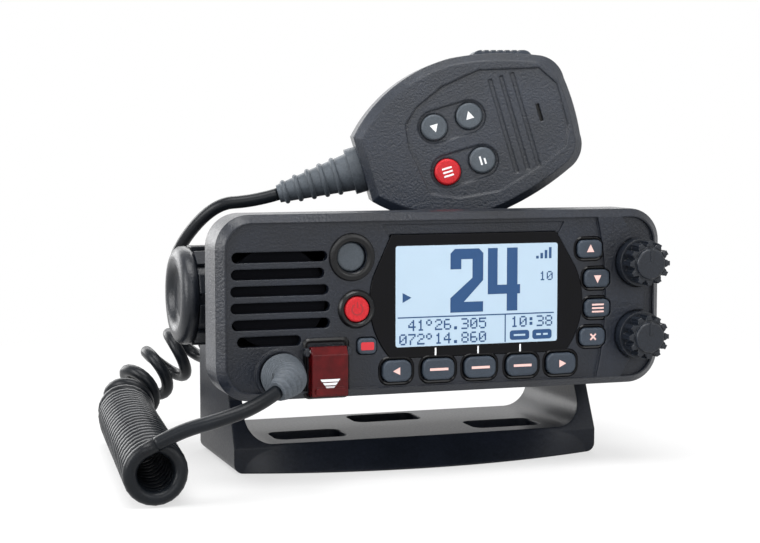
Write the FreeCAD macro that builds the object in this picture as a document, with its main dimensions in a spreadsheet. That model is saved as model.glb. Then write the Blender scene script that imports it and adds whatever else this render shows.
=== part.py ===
import FreeCAD, Part
import math
import os
import Sketcher

# Compact fixed VHF marine radio in a tilting U bracket, with its fist microphone standing on top.
# Frame: origin on the floor under the tilt axis, X to the right, Y to the back, Z up, millimetres.

V = FreeCAD.Vector
os.makedirs("parts", exist_ok=True)
doc = FreeCAD.newDocument("marine_radio")
sheet = doc.addObject("Spreadsheet::Sheet", "Sizes")
nodes = []
row = [0]


class Size:
    def __init__(self, text, value):
        self.text = text
        self.value = value

    def join(self, other, sign, swap=False):
        other = lift(other)
        a, b = (other, self) if swap else (self, other)
        if sign == "+":
            value = a.value + b.value
        elif sign == "-":
            value = a.value - b.value
        elif sign == "*":
            value = a.value * b.value
        else:
            value = a.value / b.value
        return Size("(" + a.text + " " + sign + " " + b.text + ")", value)

    def __add__(self, other):
        return self.join(other, "+")

    def __radd__(self, other):
        return self.join(other, "+", True)

    def __sub__(self, other):
        return self.join(other, "-")

    def __rsub__(self, other):
        return self.join(other, "-", True)

    def __mul__(self, other):
        return self.join(other, "*")

    def __rmul__(self, other):
        return self.join(other, "*", True)

    def __truediv__(self, other):
        return self.join(other, "/")

    def __neg__(self):
        return Size("(0 - " + self.text + ")", -self.value)


def lift(value):
    if isinstance(value, Size):
        return value
    return Size("(" + repr(float(value)) + ")", float(value))


def size(alias, value):
    row[0] += 1
    sheet.set("A%d" % row[0], alias)
    sheet.set("B%d" % row[0], repr(float(value)))
    sheet.setAlias("B%d" % row[0], alias)
    return Size("Sizes." + alias, float(value))


def bind(obj, prop, value):
    value = lift(value)
    if value.text.startswith("(") and "Sizes" not in value.text and "." not in prop:
        setattr(obj, prop, value.value)
        return
    obj.setExpression(prop, value.text)


def node(name, obj):
    obj.Label = name
    nodes.append((name, obj))
    return obj


# Case
case_width = size("case_width", 150)
case_height = size("case_height", 57.5)
case_corner = size("case_corner", 10.5)
axis_height = size("axis_height", 56)
front_y = size("front_face_y", -50)
front_back_y = size("front_case_back_y", -31)
face_y = size("face_panel_y", -48.8)
wall_y = size("front_wall_inside_y", -46)
side_wall = size("side_wall", 3)
rim_width = size("rim_width", 3)
gasket_thick = size("gasket_thickness", 1)
flange_thick = size("flange_thickness", 4)
chassis_width = size("chassis_width", 112)
chassis_top = size("chassis_top", 78.5)
chassis_bottom = size("chassis_bottom", 30.5)
chassis_back = size("chassis_back_y", 35)
chassis_wall = size("chassis_wall", 2.5)

# Bracket
bracket_half = size("bracket_half_width", 63.7)
arm_thick = size("arm_thickness", 4.5)
bracket_half_depth = size("bracket_half_depth", 24.5)
base_thick = size("base_thickness", 9)
arm_round = size("arm_round", 16)
bow = size("front_bow", 10)
recess_length = size("screw_recess_length", 25)
recess_width = size("screw_recess_width", 15)
slot_length = size("screw_slot_length", 16)
slot_width = size("screw_slot_width", 6.5)
slot_x = size("front_slot_offset", 35)
slot_y = size("front_slot_y", -10)
rear_slot_y = size("rear_slot_y", 14)

# Mount knobs
stud_r = size("stud_radius", 3)
knob_r = size("mount_knob_radius", 16.3)
knob_out = size("mount_knob_outer_x", 78)
knob_dish = size("mount_knob_dish_radius", 9.5)

# Controls
key_gap = size("key_gap", 0.3)
key_travel = size("key_travel", 0.8)
key_front = size("key_front_y", -50.1)
key_lip = size("key_lip", 0.9)
board_y = size("front_board_y", -43.6)
dial_inset = size("dial_inset", 8.4)
dial_skirt = size("dial_skirt_radius", 7.9)
dial_front = size("dial_front_y", -59.8)
cable_r = size("cord_radius", 2.2)

# Microphone
mic_x = size("mic_x", 19.07)
mic_y = size("mic_y", -11.75)
mic_z = size("mic_z", 104.68)
mic_yaw = 15.0
mic_lean = 16.8
mic_depth = size("mic_depth", 30)
mic_seam = size("mic_seam", 14)
mic_mid = size("mic_mid_line", 2.2)
mic_key_r = size("mic_key_radius", 4.4)

# Details
inner_round = size("inner_round", 9)
outer_round = size("outer_round", 3)
lean_y = size("arm_front_y", -17)
lean_z = size("arm_lean_height", 23)
back_z = size("arm_back_height", 40)
recess_floor = size("recess_floor", 3)
post_inset = size("post_inset", 8.2)
post_z = size("post_z", 21.6)
slot_pitch = size("grille_pitch", 5.2)
slot_r = size("grille_slot_radius", 1.65)
lens_back = size("lens_back_y", -47.2)
display_width = size("display_width", 54.5)
display_height = size("display_height", 31)
display_x = size("display_x", 10.4)
display_z = size("display_z", 2.2)
cover_x = size("cover_x", -40.2)
cover_width = size("cover_width", 11.6)
cover_top = size("cover_top", -12.2)
cover_bottom = size("cover_bottom", -27.6)
pin_z = size("cover_pin_z", -13.9)
pin_y = size("cover_pin_y", -50.6)
boot_x = size("boot_x", -55)
boot_z = size("boot_z", -20.7)
dial_up = size("dial_upper_z", 11.3)
dial_low = size("dial_lower_z", -12.7)
board_z = size("main_board_z", 38)
socket_x = size("socket_x", -30)
socket_z = size("socket_z", -1)
gland_z = size("gland_z", -3)
button_front = size("button_front_y", -50.6)
cover_front = size("cover_front_y", -53.4)
cover_back = size("cover_back_y", -49.1)
speaker_x = size("speaker_x", -55.4)
speaker_z = size("speaker_z", 3)
speaker_r = size("speaker_radius", 16)
antenna_r = size("antenna_socket_radius", 7.9)
antenna_length = size("antenna_socket_length", 12)
boot_bend = size("boot_bend_radius", 9)
mic_edge = size("mic_edge", 3)
coil_radius = size("coil_mean_radius", 7.7)
tight_pitch = size("coil_tight_pitch", 4.95)
loose_pitch = size("coil_loose_pitch", 10.5)
gasket_land = size("gasket_land", 8.8)
# places that follow the case
post_x = case_width / 2 - post_inset
dial_x = case_width / 2 - dial_inset
panel_left = case_width * -0.5 + 3
doc.recompute()

ROLES = {"X": "YZ_Plane", "Y": "XZ_Plane", "Z": "XY_Plane"}


def new_body(name):
    body = doc.addObject("PartDesign::Body", name + "_body")
    return body


def new_sketch(body, name, axis, at):
    sketch = doc.addObject("Sketcher::SketchObject", name)
    body.addObject(sketch)
    plane = [o for o in body.Origin.OriginFeatures if o.Role == ROLES[axis]][0]
    sketch.AttachmentSupport = [(plane, "")]
    sketch.MapMode = "FlatFace"
    at = lift(at)
    offset = -at if axis == "Y" else at
    sketch.AttachmentOffset = FreeCAD.Placement(V(0, 0, offset.value), FreeCAD.Rotation())
    sketch.setExpression("AttachmentOffset.Base.z", offset.text)
    return sketch


def hold(sketch, kind, args, value):
    value = lift(value)
    index = sketch.addConstraint(Sketcher.Constraint(kind, *args, value.value))
    if "Sizes" in value.text:
        sketch.setExpression("Constraints[%d]" % index, value.text)


def arc_centre(a, b, radius, turn):
    mid = (a + b) * 0.5
    chord = b - a
    half = chord.Length / 2
    lift_by = math.sqrt(max(radius * radius - half * half, 0.0))
    side = V(-chord.y, chord.x, 0)
    side.normalize()
    return mid + side * (lift_by * turn)


def outline(sketch, points):
    # points: (x, y) starts a straight side, (x, y, radius) an outward arc, a negative radius an inward arc
    places = [V(lift(p[0]).value, lift(p[1]).value, 0) for p in points]
    first = None
    count = len(points)
    ids = []
    for i in range(count):
        a = places[i]
        b = places[(i + 1) % count]
        if len(points[i]) == 3:
            radius = lift(points[i][2])
            out = radius.value > 0
            centre = arc_centre(a, b, abs(radius.value), 1 if out else -1)
            start, end = (a, b) if out else (b, a)
            t0 = math.atan2(start.y - centre.y, start.x - centre.x)
            t1 = math.atan2(end.y - centre.y, end.x - centre.x)
            if t1 < t0:
                t1 += 2 * math.pi
            circle = Part.Circle(centre, V(0, 0, 1), abs(radius.value))
            gid = sketch.addGeometry(Part.ArcOfCircle(circle, t0, t1), False)
            ids.append((gid, 1 if out else 2, 2 if out else 1, radius))
        else:
            gid = sketch.addGeometry(Part.LineSegment(a, b), False)
            ids.append((gid, 1, 2, None))
    for i in range(count):
        gid, begin, finish, radius = ids[i]
        follow = ids[(i + 1) % count]
        sketch.addConstraint(Sketcher.Constraint("Coincident", gid, finish, follow[0], follow[1]))
        hold(sketch, "DistanceX", (-1, 1, gid, begin), points[i][0])
        hold(sketch, "DistanceY", (-1, 1, gid, begin), points[i][1])
        if radius is not None:
            hold(sketch, "Radius", (gid,), radius if radius.value > 0 else -radius)
    return first


def circles(sketch, spots):
    for x, y, r in spots:
        x, y, r = lift(x), lift(y), lift(r)
        gid = sketch.addGeometry(Part.Circle(V(x.value, y.value, 0), V(0, 0, 1), r.value), False)
        hold(sketch, "DistanceX", (-1, 1, gid, 3), x)
        hold(sketch, "DistanceY", (-1, 1, gid, 3), y)
        hold(sketch, "Radius", (gid,), r)


def rounded(sketch, cx, cy, w, h, r):
    x0, x1 = cx - w / 2, cx + w / 2
    y0, y1 = cy - h / 2, cy + h / 2
    outline(sketch, [
        (x0 + r, y0), (x1 - r, y0, r), (x1, y0 + r), (x1, y1 - r, r),
        (x1 - r, y1), (x0 + r, y1, r), (x0, y1 - r), (x0, y0 + r, r),
    ])


def capsule(sketch, x0, x1, cy, r):
    outline(sketch, [(x0, cy - r), (x1, cy - r, r * 1.0001), (x1, cy + r), (x0, cy + r, r * 1.0001)])


def pad(body, sketch, depth, axis="Y"):
    feature = doc.addObject("PartDesign::Pad", sketch.Name + "_pad")
    body.addObject(feature)
    feature.Profile = sketch
    bind(feature, "Length", depth)
    feature.Reversed = axis == "Y"
    sketch.Visibility = False
    return feature


def pocket(body, sketch, depth, axis="Y"):
    # removes material towards the positive world axis
    feature = doc.addObject("PartDesign::Pocket", sketch.Name + "_cut")
    body.addObject(feature)
    feature.Profile = sketch
    bind(feature, "Length", depth)
    feature.Reversed = axis != "Y"
    sketch.Visibility = False
    return feature


def edge_names(shape, test):
    return ["Edge%d" % (i + 1) for i, edge in enumerate(shape.Edges) if test(edge)]


def soften(body, kind, amount, test):
    doc.recompute()
    tip = body.Tip
    names = edge_names(tip.Shape, test)
    feature = doc.addObject("PartDesign::" + kind, body.Name + "_" + kind.lower() + "%d" % len(body.Group))
    body.addObject(feature)
    feature.Base = (tip, names)
    bind(feature, "Radius" if kind == "Fillet" else "Size", amount)
    return feature


def flat_at(axis, value):
    def test(edge):
        box = edge.BoundBox
        low, high = {"X": (box.XMin, box.XMax), "Y": (box.YMin, box.YMax), "Z": (box.ZMin, box.ZMax)}[axis]
        return abs(low - value) < 1e-3 and abs(high - value) < 1e-3
    return test


def place(obj, at, rotation=None):
    obj.Placement = FreeCAD.Placement(V(*[lift(a).value for a in at]), rotation or FreeCAD.Rotation())
    for letter, value in zip("xyz", at):
        bind(obj, "Placement.Base." + letter, value)


TURN = {
    "X": FreeCAD.Rotation(V(0, 1, 0), 90),
    "Y": FreeCAD.Rotation(V(1, 0, 0), -90),
    "Z": FreeCAD.Rotation(),
}


def box(name, at, dims):
    obj = doc.addObject("Part::Box", name)
    for prop, value in zip(("Length", "Width", "Height"), dims):
        bind(obj, prop, value)
    place(obj, at)
    return obj


def rod(name, axis, at, r, length):
    obj = doc.addObject("Part::Cylinder", name)
    bind(obj, "Radius", r)
    bind(obj, "Height", length)
    place(obj, at, TURN[axis])
    return obj


def cone(name, axis, at, r1, r2, length):
    obj = doc.addObject("Part::Cone", name)
    bind(obj, "Radius1", r1)
    bind(obj, "Radius2", r2)
    bind(obj, "Height", length)
    place(obj, at, TURN[axis])
    return obj


def ring(name, axis, at, r1, r2):
    obj = doc.addObject("Part::Torus", name)
    bind(obj, "Radius1", r1)
    bind(obj, "Radius2", r2)
    place(obj, at, TURN[axis])
    return obj


def fuse(name, parts):
    obj = doc.addObject("Part::MultiFuse", name)
    obj.Shapes = parts
    obj.Refine = True
    return obj


def cut(name, base, tools):
    obj = doc.addObject("Part::Cut", name)
    obj.Base = base
    obj.Tool = tools[0] if len(tools) == 1 else fuse(name + "_tools", tools)
    obj.Refine = True
    return obj


def up(z):
    # height above the tilt axis
    return axis_height + z


# Bracket: a U with flat arms, a bowed front foot and three screw recesses
body = new_body("bracket")
sk = new_sketch(body, "bracket_u", "Y", -bracket_half_depth)
arm_in = bracket_half - arm_thick
outline(sk, [
    (-bracket_half + outer_round, 0), (bracket_half - outer_round, 0, outer_round),
    (bracket_half, outer_round), (bracket_half, axis_height + arm_round), (arm_in, axis_height + arm_round),
    (arm_in, base_thick + inner_round, -inner_round), (arm_in - inner_round, base_thick),
    (-arm_in + inner_round, base_thick, -inner_round), (-arm_in, base_thick + inner_round),
    (-arm_in, axis_height + arm_round), (-bracket_half, axis_height + arm_round),
    (-bracket_half, outer_round, outer_round),
])
pad(body, sk, bracket_half_depth * 2)
sk = new_sketch(body, "bracket_front_trim", "X", -bracket_half - 5)
outline(sk, [
    (-bracket_half_depth - 6, base_thick - 1), (-bracket_half_depth, base_thick - 1), (lean_y, lean_z),
    (-arm_round, axis_height, -arm_round * 1.00001), (0, axis_height + arm_round), (0, axis_height + arm_round + 5),
    (-bracket_half_depth - 6, axis_height + arm_round + 5),
])
pocket(body, sk, bracket_half * 2 + 10, "X")
sk = new_sketch(body, "bracket_back_trim", "X", -bracket_half - 5)
outline(sk, [
    (bracket_half_depth, back_z), (bracket_half_depth + 6, back_z),
    (bracket_half_depth + 6, axis_height + arm_round + 5), (0, axis_height + arm_round + 5),
    (0, axis_height + arm_round, -arm_round * 1.00001), (arm_round, axis_height),
])
pocket(body, sk, bracket_half * 2 + 10, "X")
foot_half = bracket_half - outer_round
sk = new_sketch(body, "foot_bottom", "Z", 0)
bow_radius = (foot_half * foot_half + bow * bow) / (bow * 2)
outline(sk, [(-foot_half, -bracket_half_depth, bow_radius), (foot_half, -bracket_half_depth),
             (foot_half, -bracket_half_depth + 6), (-foot_half, -bracket_half_depth + 6)])
sk2 = new_sketch(body, "foot_top", "Z", base_thick)
outline(sk2, [(-foot_half, -bracket_half_depth + 1, bow_radius * 8), (foot_half, -bracket_half_depth + 1),
              (foot_half, -bracket_half_depth + 6), (-foot_half, -bracket_half_depth + 6)])
loft = doc.addObject("PartDesign::AdditiveLoft", "foot")
body.addObject(loft)
loft.Profile = sk
loft.Sections = [sk2]
loft.Ruled = True
for tag, x, y in (("left", -slot_x, slot_y), ("right", slot_x, slot_y), ("rear", lift(0), rear_slot_y)):
    sk = new_sketch(body, "recess_" + tag, "Z", recess_floor)
    rounded(sk, x, y, recess_length, recess_width, recess_width / 4)
    pocket(body, sk, base_thick + 2, "Z")
    sk = new_sketch(body, "slot_" + tag, "Z", lift(-1))
    capsule(sk, x - slot_length / 2 + slot_width / 2, x + slot_length / 2 - slot_width / 2, y, slot_width / 2)
    pocket(body, sk, base_thick, "Z")
sk = new_sketch(body, "stud_holes", "X", -bracket_half - 5)
circles(sk, [(lift(0), axis_height, stud_r + 0.3)])
pocket(body, sk, bracket_half * 2 + 10, "X")
node("bracket", body)

# Mount knobs with their studs, and the rubber washers beside the chassis
for tag, side in (("left", -1), ("right", 1)):
    length = knob_out - bracket_half
    inner = bracket_half if side > 0 else -knob_out
    tip_x = knob_out - 2 if side > 0 else -knob_out
    disc = rod(tag + "_disc", "X", (inner, 0, axis_height), knob_r, length)
    round_disc = doc.addObject("Part::Chamfer", tag + "_disc_edge")
    round_disc.Base = disc
    doc.recompute()
    far = side * knob_out.value
    picks = [i + 1 for i, e in enumerate(disc.Shape.Edges) if flat_at("X", far)(e)]
    round_disc.Edges = [(i, 3.0, 3.0) for i in picks]
    dish = rod(tag + "_dish", "X", (tip_x, 0, axis_height), knob_dish, 2)
    pads = []
    for k in range(6):
        wedge = doc.addObject("Part::Cylinder", "%s_step_%d" % (tag, k))
        bind(wedge, "Radius", knob_r + 1)
        bind(wedge, "Height", 1)
        wedge.Angle = 30
        x_at = knob_out - 1 if side > 0 else -knob_out
        turn = FreeCAD.Rotation(V(1, 0, 0), 60 * k + 15).multiply(TURN["X"])
        place(wedge, (x_at, 0, axis_height), turn)
        pads.append(wedge)
    bore_x = bracket_half if side > 0 else -bracket_half - 8
    bore = rod(tag + "_bore", "X", (bore_x, 0, axis_height), stud_r, 8)
    knob = cut(tag + "_mount_knob_shape", round_disc, [dish, bore] + pads)
    node(tag + "_mount_knob", knob)
    stud_in = chassis_width / 2 - 10
    stud_len = bracket_half + 8 - stud_in
    start = stud_in if side > 0 else -bracket_half - 8
    node(tag + "_mount_stud", rod(tag + "_stud", "X", (start, 0, axis_height), stud_r, stud_len))
washers = []
for tag, side in (("left", -1), ("right", 1)):
    start = chassis_width / 2 if side > 0 else -arm_in
    ring_outer = rod(tag + "_washer_disc", "X", (start, 0, axis_height), 12, arm_in - chassis_width / 2)
    ring_hole = rod(tag + "_washer_hole", "X", (start - 1, 0, axis_height), stud_r + 0.5, 8)
    washers.append(cut(tag + "_washer", ring_outer, [ring_hole]))
node("mount_washers", fuse("mount_washers_set", washers))

# Front case
body = new_body("front_case")
sk = new_sketch(body, "case_block", "Y", front_y)
rounded(sk, lift(0), axis_height, case_width, case_height, case_corner)
pad(body, sk, front_back_y - front_y)
soften(body, "Chamfer", 2.4, flat_at("Y", front_y.value))
soften(body, "Chamfer", 3.0, flat_at("Y", front_back_y.value))
sk = new_sketch(body, "case_inside", "Y", wall_y)
rounded(sk, lift(0), axis_height, case_width - side_wall * 2, case_height - side_wall * 2, case_corner - side_wall)
pocket(body, sk, 30)
sk = new_sketch(body, "screw_posts", "Y", wall_y)
circles(sk, [(sx * post_x, up(sz * post_z), 3.6) for sx in (-1, 1) for sz in (-1, 1)])
pad(body, sk, front_back_y - wall_y)
sk = new_sketch(body, "screw_holes", "Y", front_back_y - 9)
circles(sk, [(sx * post_x, up(sz * post_z), 1.5) for sx in (-1, 1) for sz in (-1, 1)])
pocket(body, sk, 12)
# face panel, stepping down to the right of the curved shoulder
sk = new_sketch(body, "face_panel", "Y", front_y - 1)
outline(sk, [
    (panel_left + 8, up(-26.2)), (lift(52.0), up(-26.2), lift(110.0)), (lift(52.0), up(26.2)),
    (panel_left + 8, up(26.2), lift(8.5)), (panel_left, up(18.2)), (panel_left, up(-18.2), lift(8.5)),
])
pocket(body, sk, face_y - front_y + 1)
sk = new_sketch(body, "dial_panel", "Y", front_y - 1)
outline(sk, [
    (dial_x - 6, up(-26.2)), (dial_x - 2.6, up(-26.2), lift(8.5)), (dial_x + 5.6, up(-18.0)),
    (dial_x + 5.6, up(18.0), lift(8.5)), (dial_x - 2.6, up(26.2)), (dial_x - 6, up(26.2), lift(-45.0)),
])
pocket(body, sk, face_y - front_y + 1)
sk = new_sketch(body, "dial_seats", "Y", front_y - 1)
circles(sk, [(dial_x, up(dial_up), dial_skirt + 0.35), (dial_x, up(dial_low), dial_skirt + 0.35)])
pocket(body, sk, face_y - front_y + 1)
# speaker grille: six slots
grille = [(-70.2, -39.6), (-70.4, -40.6), (-70.6, -39.2), (-70.6, -38.8), (-70.2, -38.8), (-68.6, -48.2)]
for k in range(6):
    left, right = grille[k]
    sk = new_sketch(body, "grille_%d" % (k + 1), "Y", front_y - 1)
    capsule(sk, lift(left) + slot_r, lift(right) - slot_r, up(15.65 - slot_pitch * k), slot_r)
    pocket(body, sk, 8)
# window seat and the opening for the display
WINDOW = [
    (-18.9, -17.2), (41.2, -17.2, 26.0), (44.6, 10.0), (37.6, 21.7), (-18.7, 21.7), (-24.6, 9.0, 27.0),
]


def window(sketch, grow):
    points = []
    for entry in WINDOW:
        x, z = entry[0], entry[1]
        x = x + grow if x > 0 else x - grow
        z = z + grow if z > 12 or z < -12 else z
        z = z - 2 * grow if z < -12 else z
        points.append((lift(x), up(z)) + tuple(lift(r) for r in entry[2:]))
    outline(sketch, points)


sk = new_sketch(body, "window_seat", "Y", front_y - 1)
window(sk, 0.15)
pocket(body, sk, lens_back - front_y + 1)
sk = new_sketch(body, "brow", "Y", front_y - 1)
outline(sk, [(lift(-19.5), up(21.0)), (lift(38.4), up(21.0)), (lift(40.6), up(25.0)), (lift(-21.5), up(25.0))])
pocket(body, sk, face_y - front_y + 1.7)
sk = new_sketch(body, "display_opening", "Y", front_y - 1)
rounded(sk, display_x, up(display_z), display_width + 1, display_height + 1, lift(1.5))
pocket(body, sk, 8)

# key openings: (name, x, height above axis, width, height, corner)
KEYS = [
    ("left_key", -17.05, -21.2, 9.6, 6.8, 2.6), ("soft_key_1", -3.05, -21.2, 10.7, 6.8, 2.6),
    ("soft_key_2", 11.15, -21.2, 10.7, 6.8, 2.6), ("soft_key_3", 25.7, -21.2, 10.7, 6.8, 2.6),
    ("right_key", 39.5, -21.2, 10.2, 6.8, 2.6), ("up_key", 49.4, 15.9, 8.6, 5.8, 2.0),
    ("down_key", 52.0, 6.2, 8.8, 5.8, 2.0), ("menu_key", 52.2, -3.5, 8.8, 5.8, 2.0),
    ("clear_key", 50.6, -12.9, 8.8, 5.8, 2.0), ("alert_key", -26.9, -12.9, 6.2, 5.0, 1.6),
]
ROUND_KEYS = [("power_key", -30.2, -1.2, 4.0), ("upper_round_key", -31.7, 15.1, 4.6)]
for name, x, z, w, h, r in KEYS:
    sk = new_sketch(body, name + "_opening", "Y", front_y - 1)
    rounded(sk, lift(x), up(z), w + key_gap * 2, h + key_gap * 2, lift(r))
    pocket(body, sk, 8)
sk = new_sketch(body, "round_openings", "Y", front_y - 1)
circles(sk, [(lift(x), up(z), r + key_gap) for name, x, z, r in ROUND_KEYS])
pocket(body, sk, 8)
# seat of the lift-up cover, with the button hole behind it, and the cord and dial holes
sk = new_sketch(body, "cover_seat", "Y", front_y - 1)
rounded(sk, cover_x, up(cover_bottom / 2 + cover_top / 2 - 0.8), cover_width + 0.6, cover_top - cover_bottom + 2.2, lift(0.8))
pocket(body, sk, face_y - front_y + 1)
sk = new_sketch(body, "button_and_dial_holes", "Y", front_y - 1)
circles(sk, [(cover_x, up(-20.6), lift(4.1)), (dial_x, up(dial_up), lift(3.6)),
             (dial_x, up(dial_low), lift(3.6))])
pocket(body, sk, 8)
sk = new_sketch(body, "cover_lugs", "Y", pin_y - 1.2)
for side in (-1, 1):
    mid = cover_x + side * (cover_width / 2 + 1.0)
    rounded(sk, mid, up(pin_z), lift(1.5), lift(2.6), lift(0.6))
pad(body, sk, wall_y - pin_y + 0.8)
sk = new_sketch(body, "lug_holes", "X", cover_x - 10)
circles(sk, [(pin_y, up(pin_z), lift(0.7))])
pocket(body, sk, 20, "X")
sk = new_sketch(body, "boot_ring", "Y", face_y - 1)
circles(sk, [(boot_x, up(boot_z), lift(8.0))])
pad(body, sk, 1.4)
sk = new_sketch(body, "boot_ring_hole", "Y", face_y - 1.5)
circles(sk, [(boot_x, up(boot_z), lift(6.8))])
pocket(body, sk, 1.5)
sk = new_sketch(body, "boot_hole", "Y", front_y - 1)
circles(sk, [(boot_x, up(boot_z), lift(3.2))])
pocket(body, sk, 8)
node("front_case", body)

# Gasket
body = new_body("case_gasket")
sk = new_sketch(body, "gasket_ring", "Y", front_back_y)
rounded(sk, lift(0), axis_height, case_width - 6.4, case_height - 6.4, case_corner - 3)
pad(body, sk, gasket_thick)
sk = new_sketch(body, "gasket_hole", "Y", front_back_y)
rounded(sk, lift(0), axis_height, post_x * 2 - gasket_land * 2, case_height - 10.5, case_corner - 5)
pocket(body, sk, 5)
sk = new_sketch(body, "gasket_screw_holes", "Y", front_back_y - 1)
circles(sk, [(sx * post_x, up(sz * post_z), 1.7) for sx in (-1, 1) for sz in (-1, 1)])
pocket(body, sk, 5)
node("case_gasket", body)

# Rear chassis: flange and ribbed box
flange_y = front_back_y + gasket_thick
chassis_mid = (chassis_top + chassis_bottom) / 2
body = new_body("rear_chassis")
sk = new_sketch(body, "flange", "Y", flange_y)
rounded(sk, lift(0), axis_height, case_width - 6, case_height - 6, case_corner - 2.6)
pad(body, sk, flange_thick)
soften(body, "Chamfer", 1.5, flat_at("Y", (flange_y + flange_thick).value))
sk = new_sketch(body, "chassis_box", "Y", flange_y + flange_thick)
rounded(sk, lift(0), chassis_mid, chassis_width, chassis_top - chassis_bottom, lift(5))
pad(body, sk, chassis_back - flange_y - flange_thick)
soften(body, "Fillet", 2.0, flat_at("Y", chassis_back.value))
sk = new_sketch(body, "chassis_inside", "Y", flange_y)
rounded(sk, lift(0), chassis_mid, chassis_width - chassis_wall * 2, chassis_top - chassis_bottom - chassis_wall * 2, lift(3))
pocket(body, sk, chassis_back - chassis_wall - flange_y)
sk = new_sketch(body, "left_boss", "X", -chassis_width / 2 + 1)
circles(sk, [(lift(0), axis_height, lift(6))])
pad(body, sk, 11, "X")
sk = new_sketch(body, "right_boss", "X", chassis_width / 2 - 12)
circles(sk, [(lift(0), axis_height, lift(6))])
pad(body, sk, 11, "X")
sk = new_sketch(body, "stud_bores", "X", -chassis_width)
circles(sk, [(lift(0), axis_height, stud_r + 0.04)])
pocket(body, sk, chassis_width * 2, "X")
sk = new_sketch(body, "board_posts", "Z", chassis_bottom + 1)
circles(sk, [(sx * 46, lift(y), lift(3)) for sx in (-1, 1) for y in (-18.0, 26.0)])
pad(body, sk, board_z - chassis_bottom - 1, "Z")
sk = new_sketch(body, "flange_screw_holes", "Y", flange_y - 1)
circles(sk, [(sx * post_x, up(sz * post_z), 1.7) for sx in (-1, 1) for sz in (-1, 1)])
pocket(body, sk, 8)
for k in range(5):
    # cooling grooves between the socket and the glands
    sk = new_sketch(body, "cooling_groove_%d" % (k + 1), "Y", chassis_back - 1.2)
    rounded(sk, lift(-9.0 + 6 * k), chassis_mid, lift(3), lift(34), lift(1.4))
    pocket(body, sk, 3)
sk = new_sketch(body, "rear_holes", "Y", chassis_back - 8)
circles(sk, [(socket_x, up(socket_z), lift(6.5)), (lift(28), up(gland_z), lift(4)), (lift(44), up(gland_z), lift(4))])
pocket(body, sk, 12)
node("rear_chassis", body)

# Screws that join the two halves of the case
screws = []
for sx in (-1, 1):
    for sz in (-1, 1):
        tag = "%d_%d" % (sx + 1, sz + 1)
        head = rod("screw_head_" + tag, "Y", (sx * post_x, flange_y + flange_thick, up(sz * post_z)), 2.7, 1.8)
        shank = rod("screw_shank_" + tag, "Y", (sx * post_x, front_back_y - 8, up(sz * post_z)), 1.5,
                    flange_y + flange_thick - front_back_y + 8)
        drive = rod("screw_drive_" + tag, "Y", (sx * post_x, flange_y + flange_thick + 0.9, up(sz * post_z)), 1.1, 2)
        screws.append(cut("screw_" + tag, fuse("screw_solid_" + tag, [head, shank]), [drive]))
node("case_screws", fuse("case_screws_set", screws))

# Window and display
body = new_body("window_lens")
sk = new_sketch(body, "lens_outline", "Y", face_y - 0.2)
window(sk, 0.0)
pad(body, sk, lens_back - face_y + 0.2)
node("window_lens", body)
node("lcd_panel", box("lcd", (display_x - 30, wall_y, up(display_z - 18.4)), (lift(60), board_y - wall_y, lift(37))))

# Keys, with the lip behind the front wall
for name, x, z, w, h, r in KEYS:
    body = new_body(name)
    front = key_front if name != "alert_key" else key_front + 0.3
    sk = new_sketch(body, name + "_cap", "Y", front)
    rounded(sk, lift(x), up(z), lift(w), lift(h), lift(r))
    pad(body, sk, wall_y - front)
    soften(body, "Fillet", 0.6, flat_at("Y", front.value))
    sk = new_sketch(body, name + "_lip", "Y", wall_y)
    wide = w + key_lip * 2
    rounded(sk, lift(x), up(z), wide, h + key_lip, lift(r))
    pad(body, sk, 0.8)
    node(name, body)
for name, x, z, r in ROUND_KEYS:
    body = new_body(name)
    front = key_front + (0.4 if name == "power_key" else 2.2)
    sk = new_sketch(body, name + "_cap", "Y", front)
    circles(sk, [(lift(x), up(z), lift(r))])
    pad(body, sk, wall_y - front)
    soften(body, "Fillet", 0.6, flat_at("Y", front.value))
    sk = new_sketch(body, name + "_lip", "Y", wall_y)
    circles(sk, [(lift(x), up(z), r + key_lip)])
    pad(body, sk, 0.8)
    node(name, body)

# Button under the cover, cover and hinge pin
cap = rod("button_cap", "Y", (cover_x, button_front, up(-20.6)), 3.8, wall_y - button_front)
lip = rod("button_lip", "Y", (cover_x, wall_y, up(-20.6)), 4.8, 0.8)
node("alert_button", fuse("alert_button_shape", [cap, lip]))
body = new_body("alert_cover")
sk = new_sketch(body, "cover_block", "X", cover_x - cover_width / 2)
outline(sk, [
    (cover_front, up(cover_bottom)), (cover_back, up(cover_bottom)), (cover_back, up(pin_z)),
    (pin_y, up(pin_z + 1.5), lift(-1.5) * -1.0), (cover_front + 1.4, up(pin_z + 1.5)), (cover_front, up(pin_z - 0.8)),
])
pad(body, sk, cover_width, "X")
sk = new_sketch(body, "cover_hollow", "Y", cover_front + 1.3)
rounded(sk, cover_x, up(-21.4), cover_width - 2.4, lift(10.2), lift(0.8))
pocket(body, sk, 6)
sk = new_sketch(body, "cover_pin_hole", "X", cover_x - 10)
circles(sk, [(pin_y, up(pin_z), lift(0.72))])
pocket(body, sk, 20, "X")
sk = new_sketch(body, "cover_grip", "Y", cover_front - 0.9)
rounded(sk, cover_x, up(cover_bottom + 1.6), cover_width - 2, lift(2.2), lift(0.8))
pad(body, sk, 1.4)
node("alert_cover", body)
node("cover_pin", rod("cover_pin_rod", "X", (cover_x - cover_width / 2 - 1.7, pin_y, up(pin_z)), 0.7, cover_width + 3.4))

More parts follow.
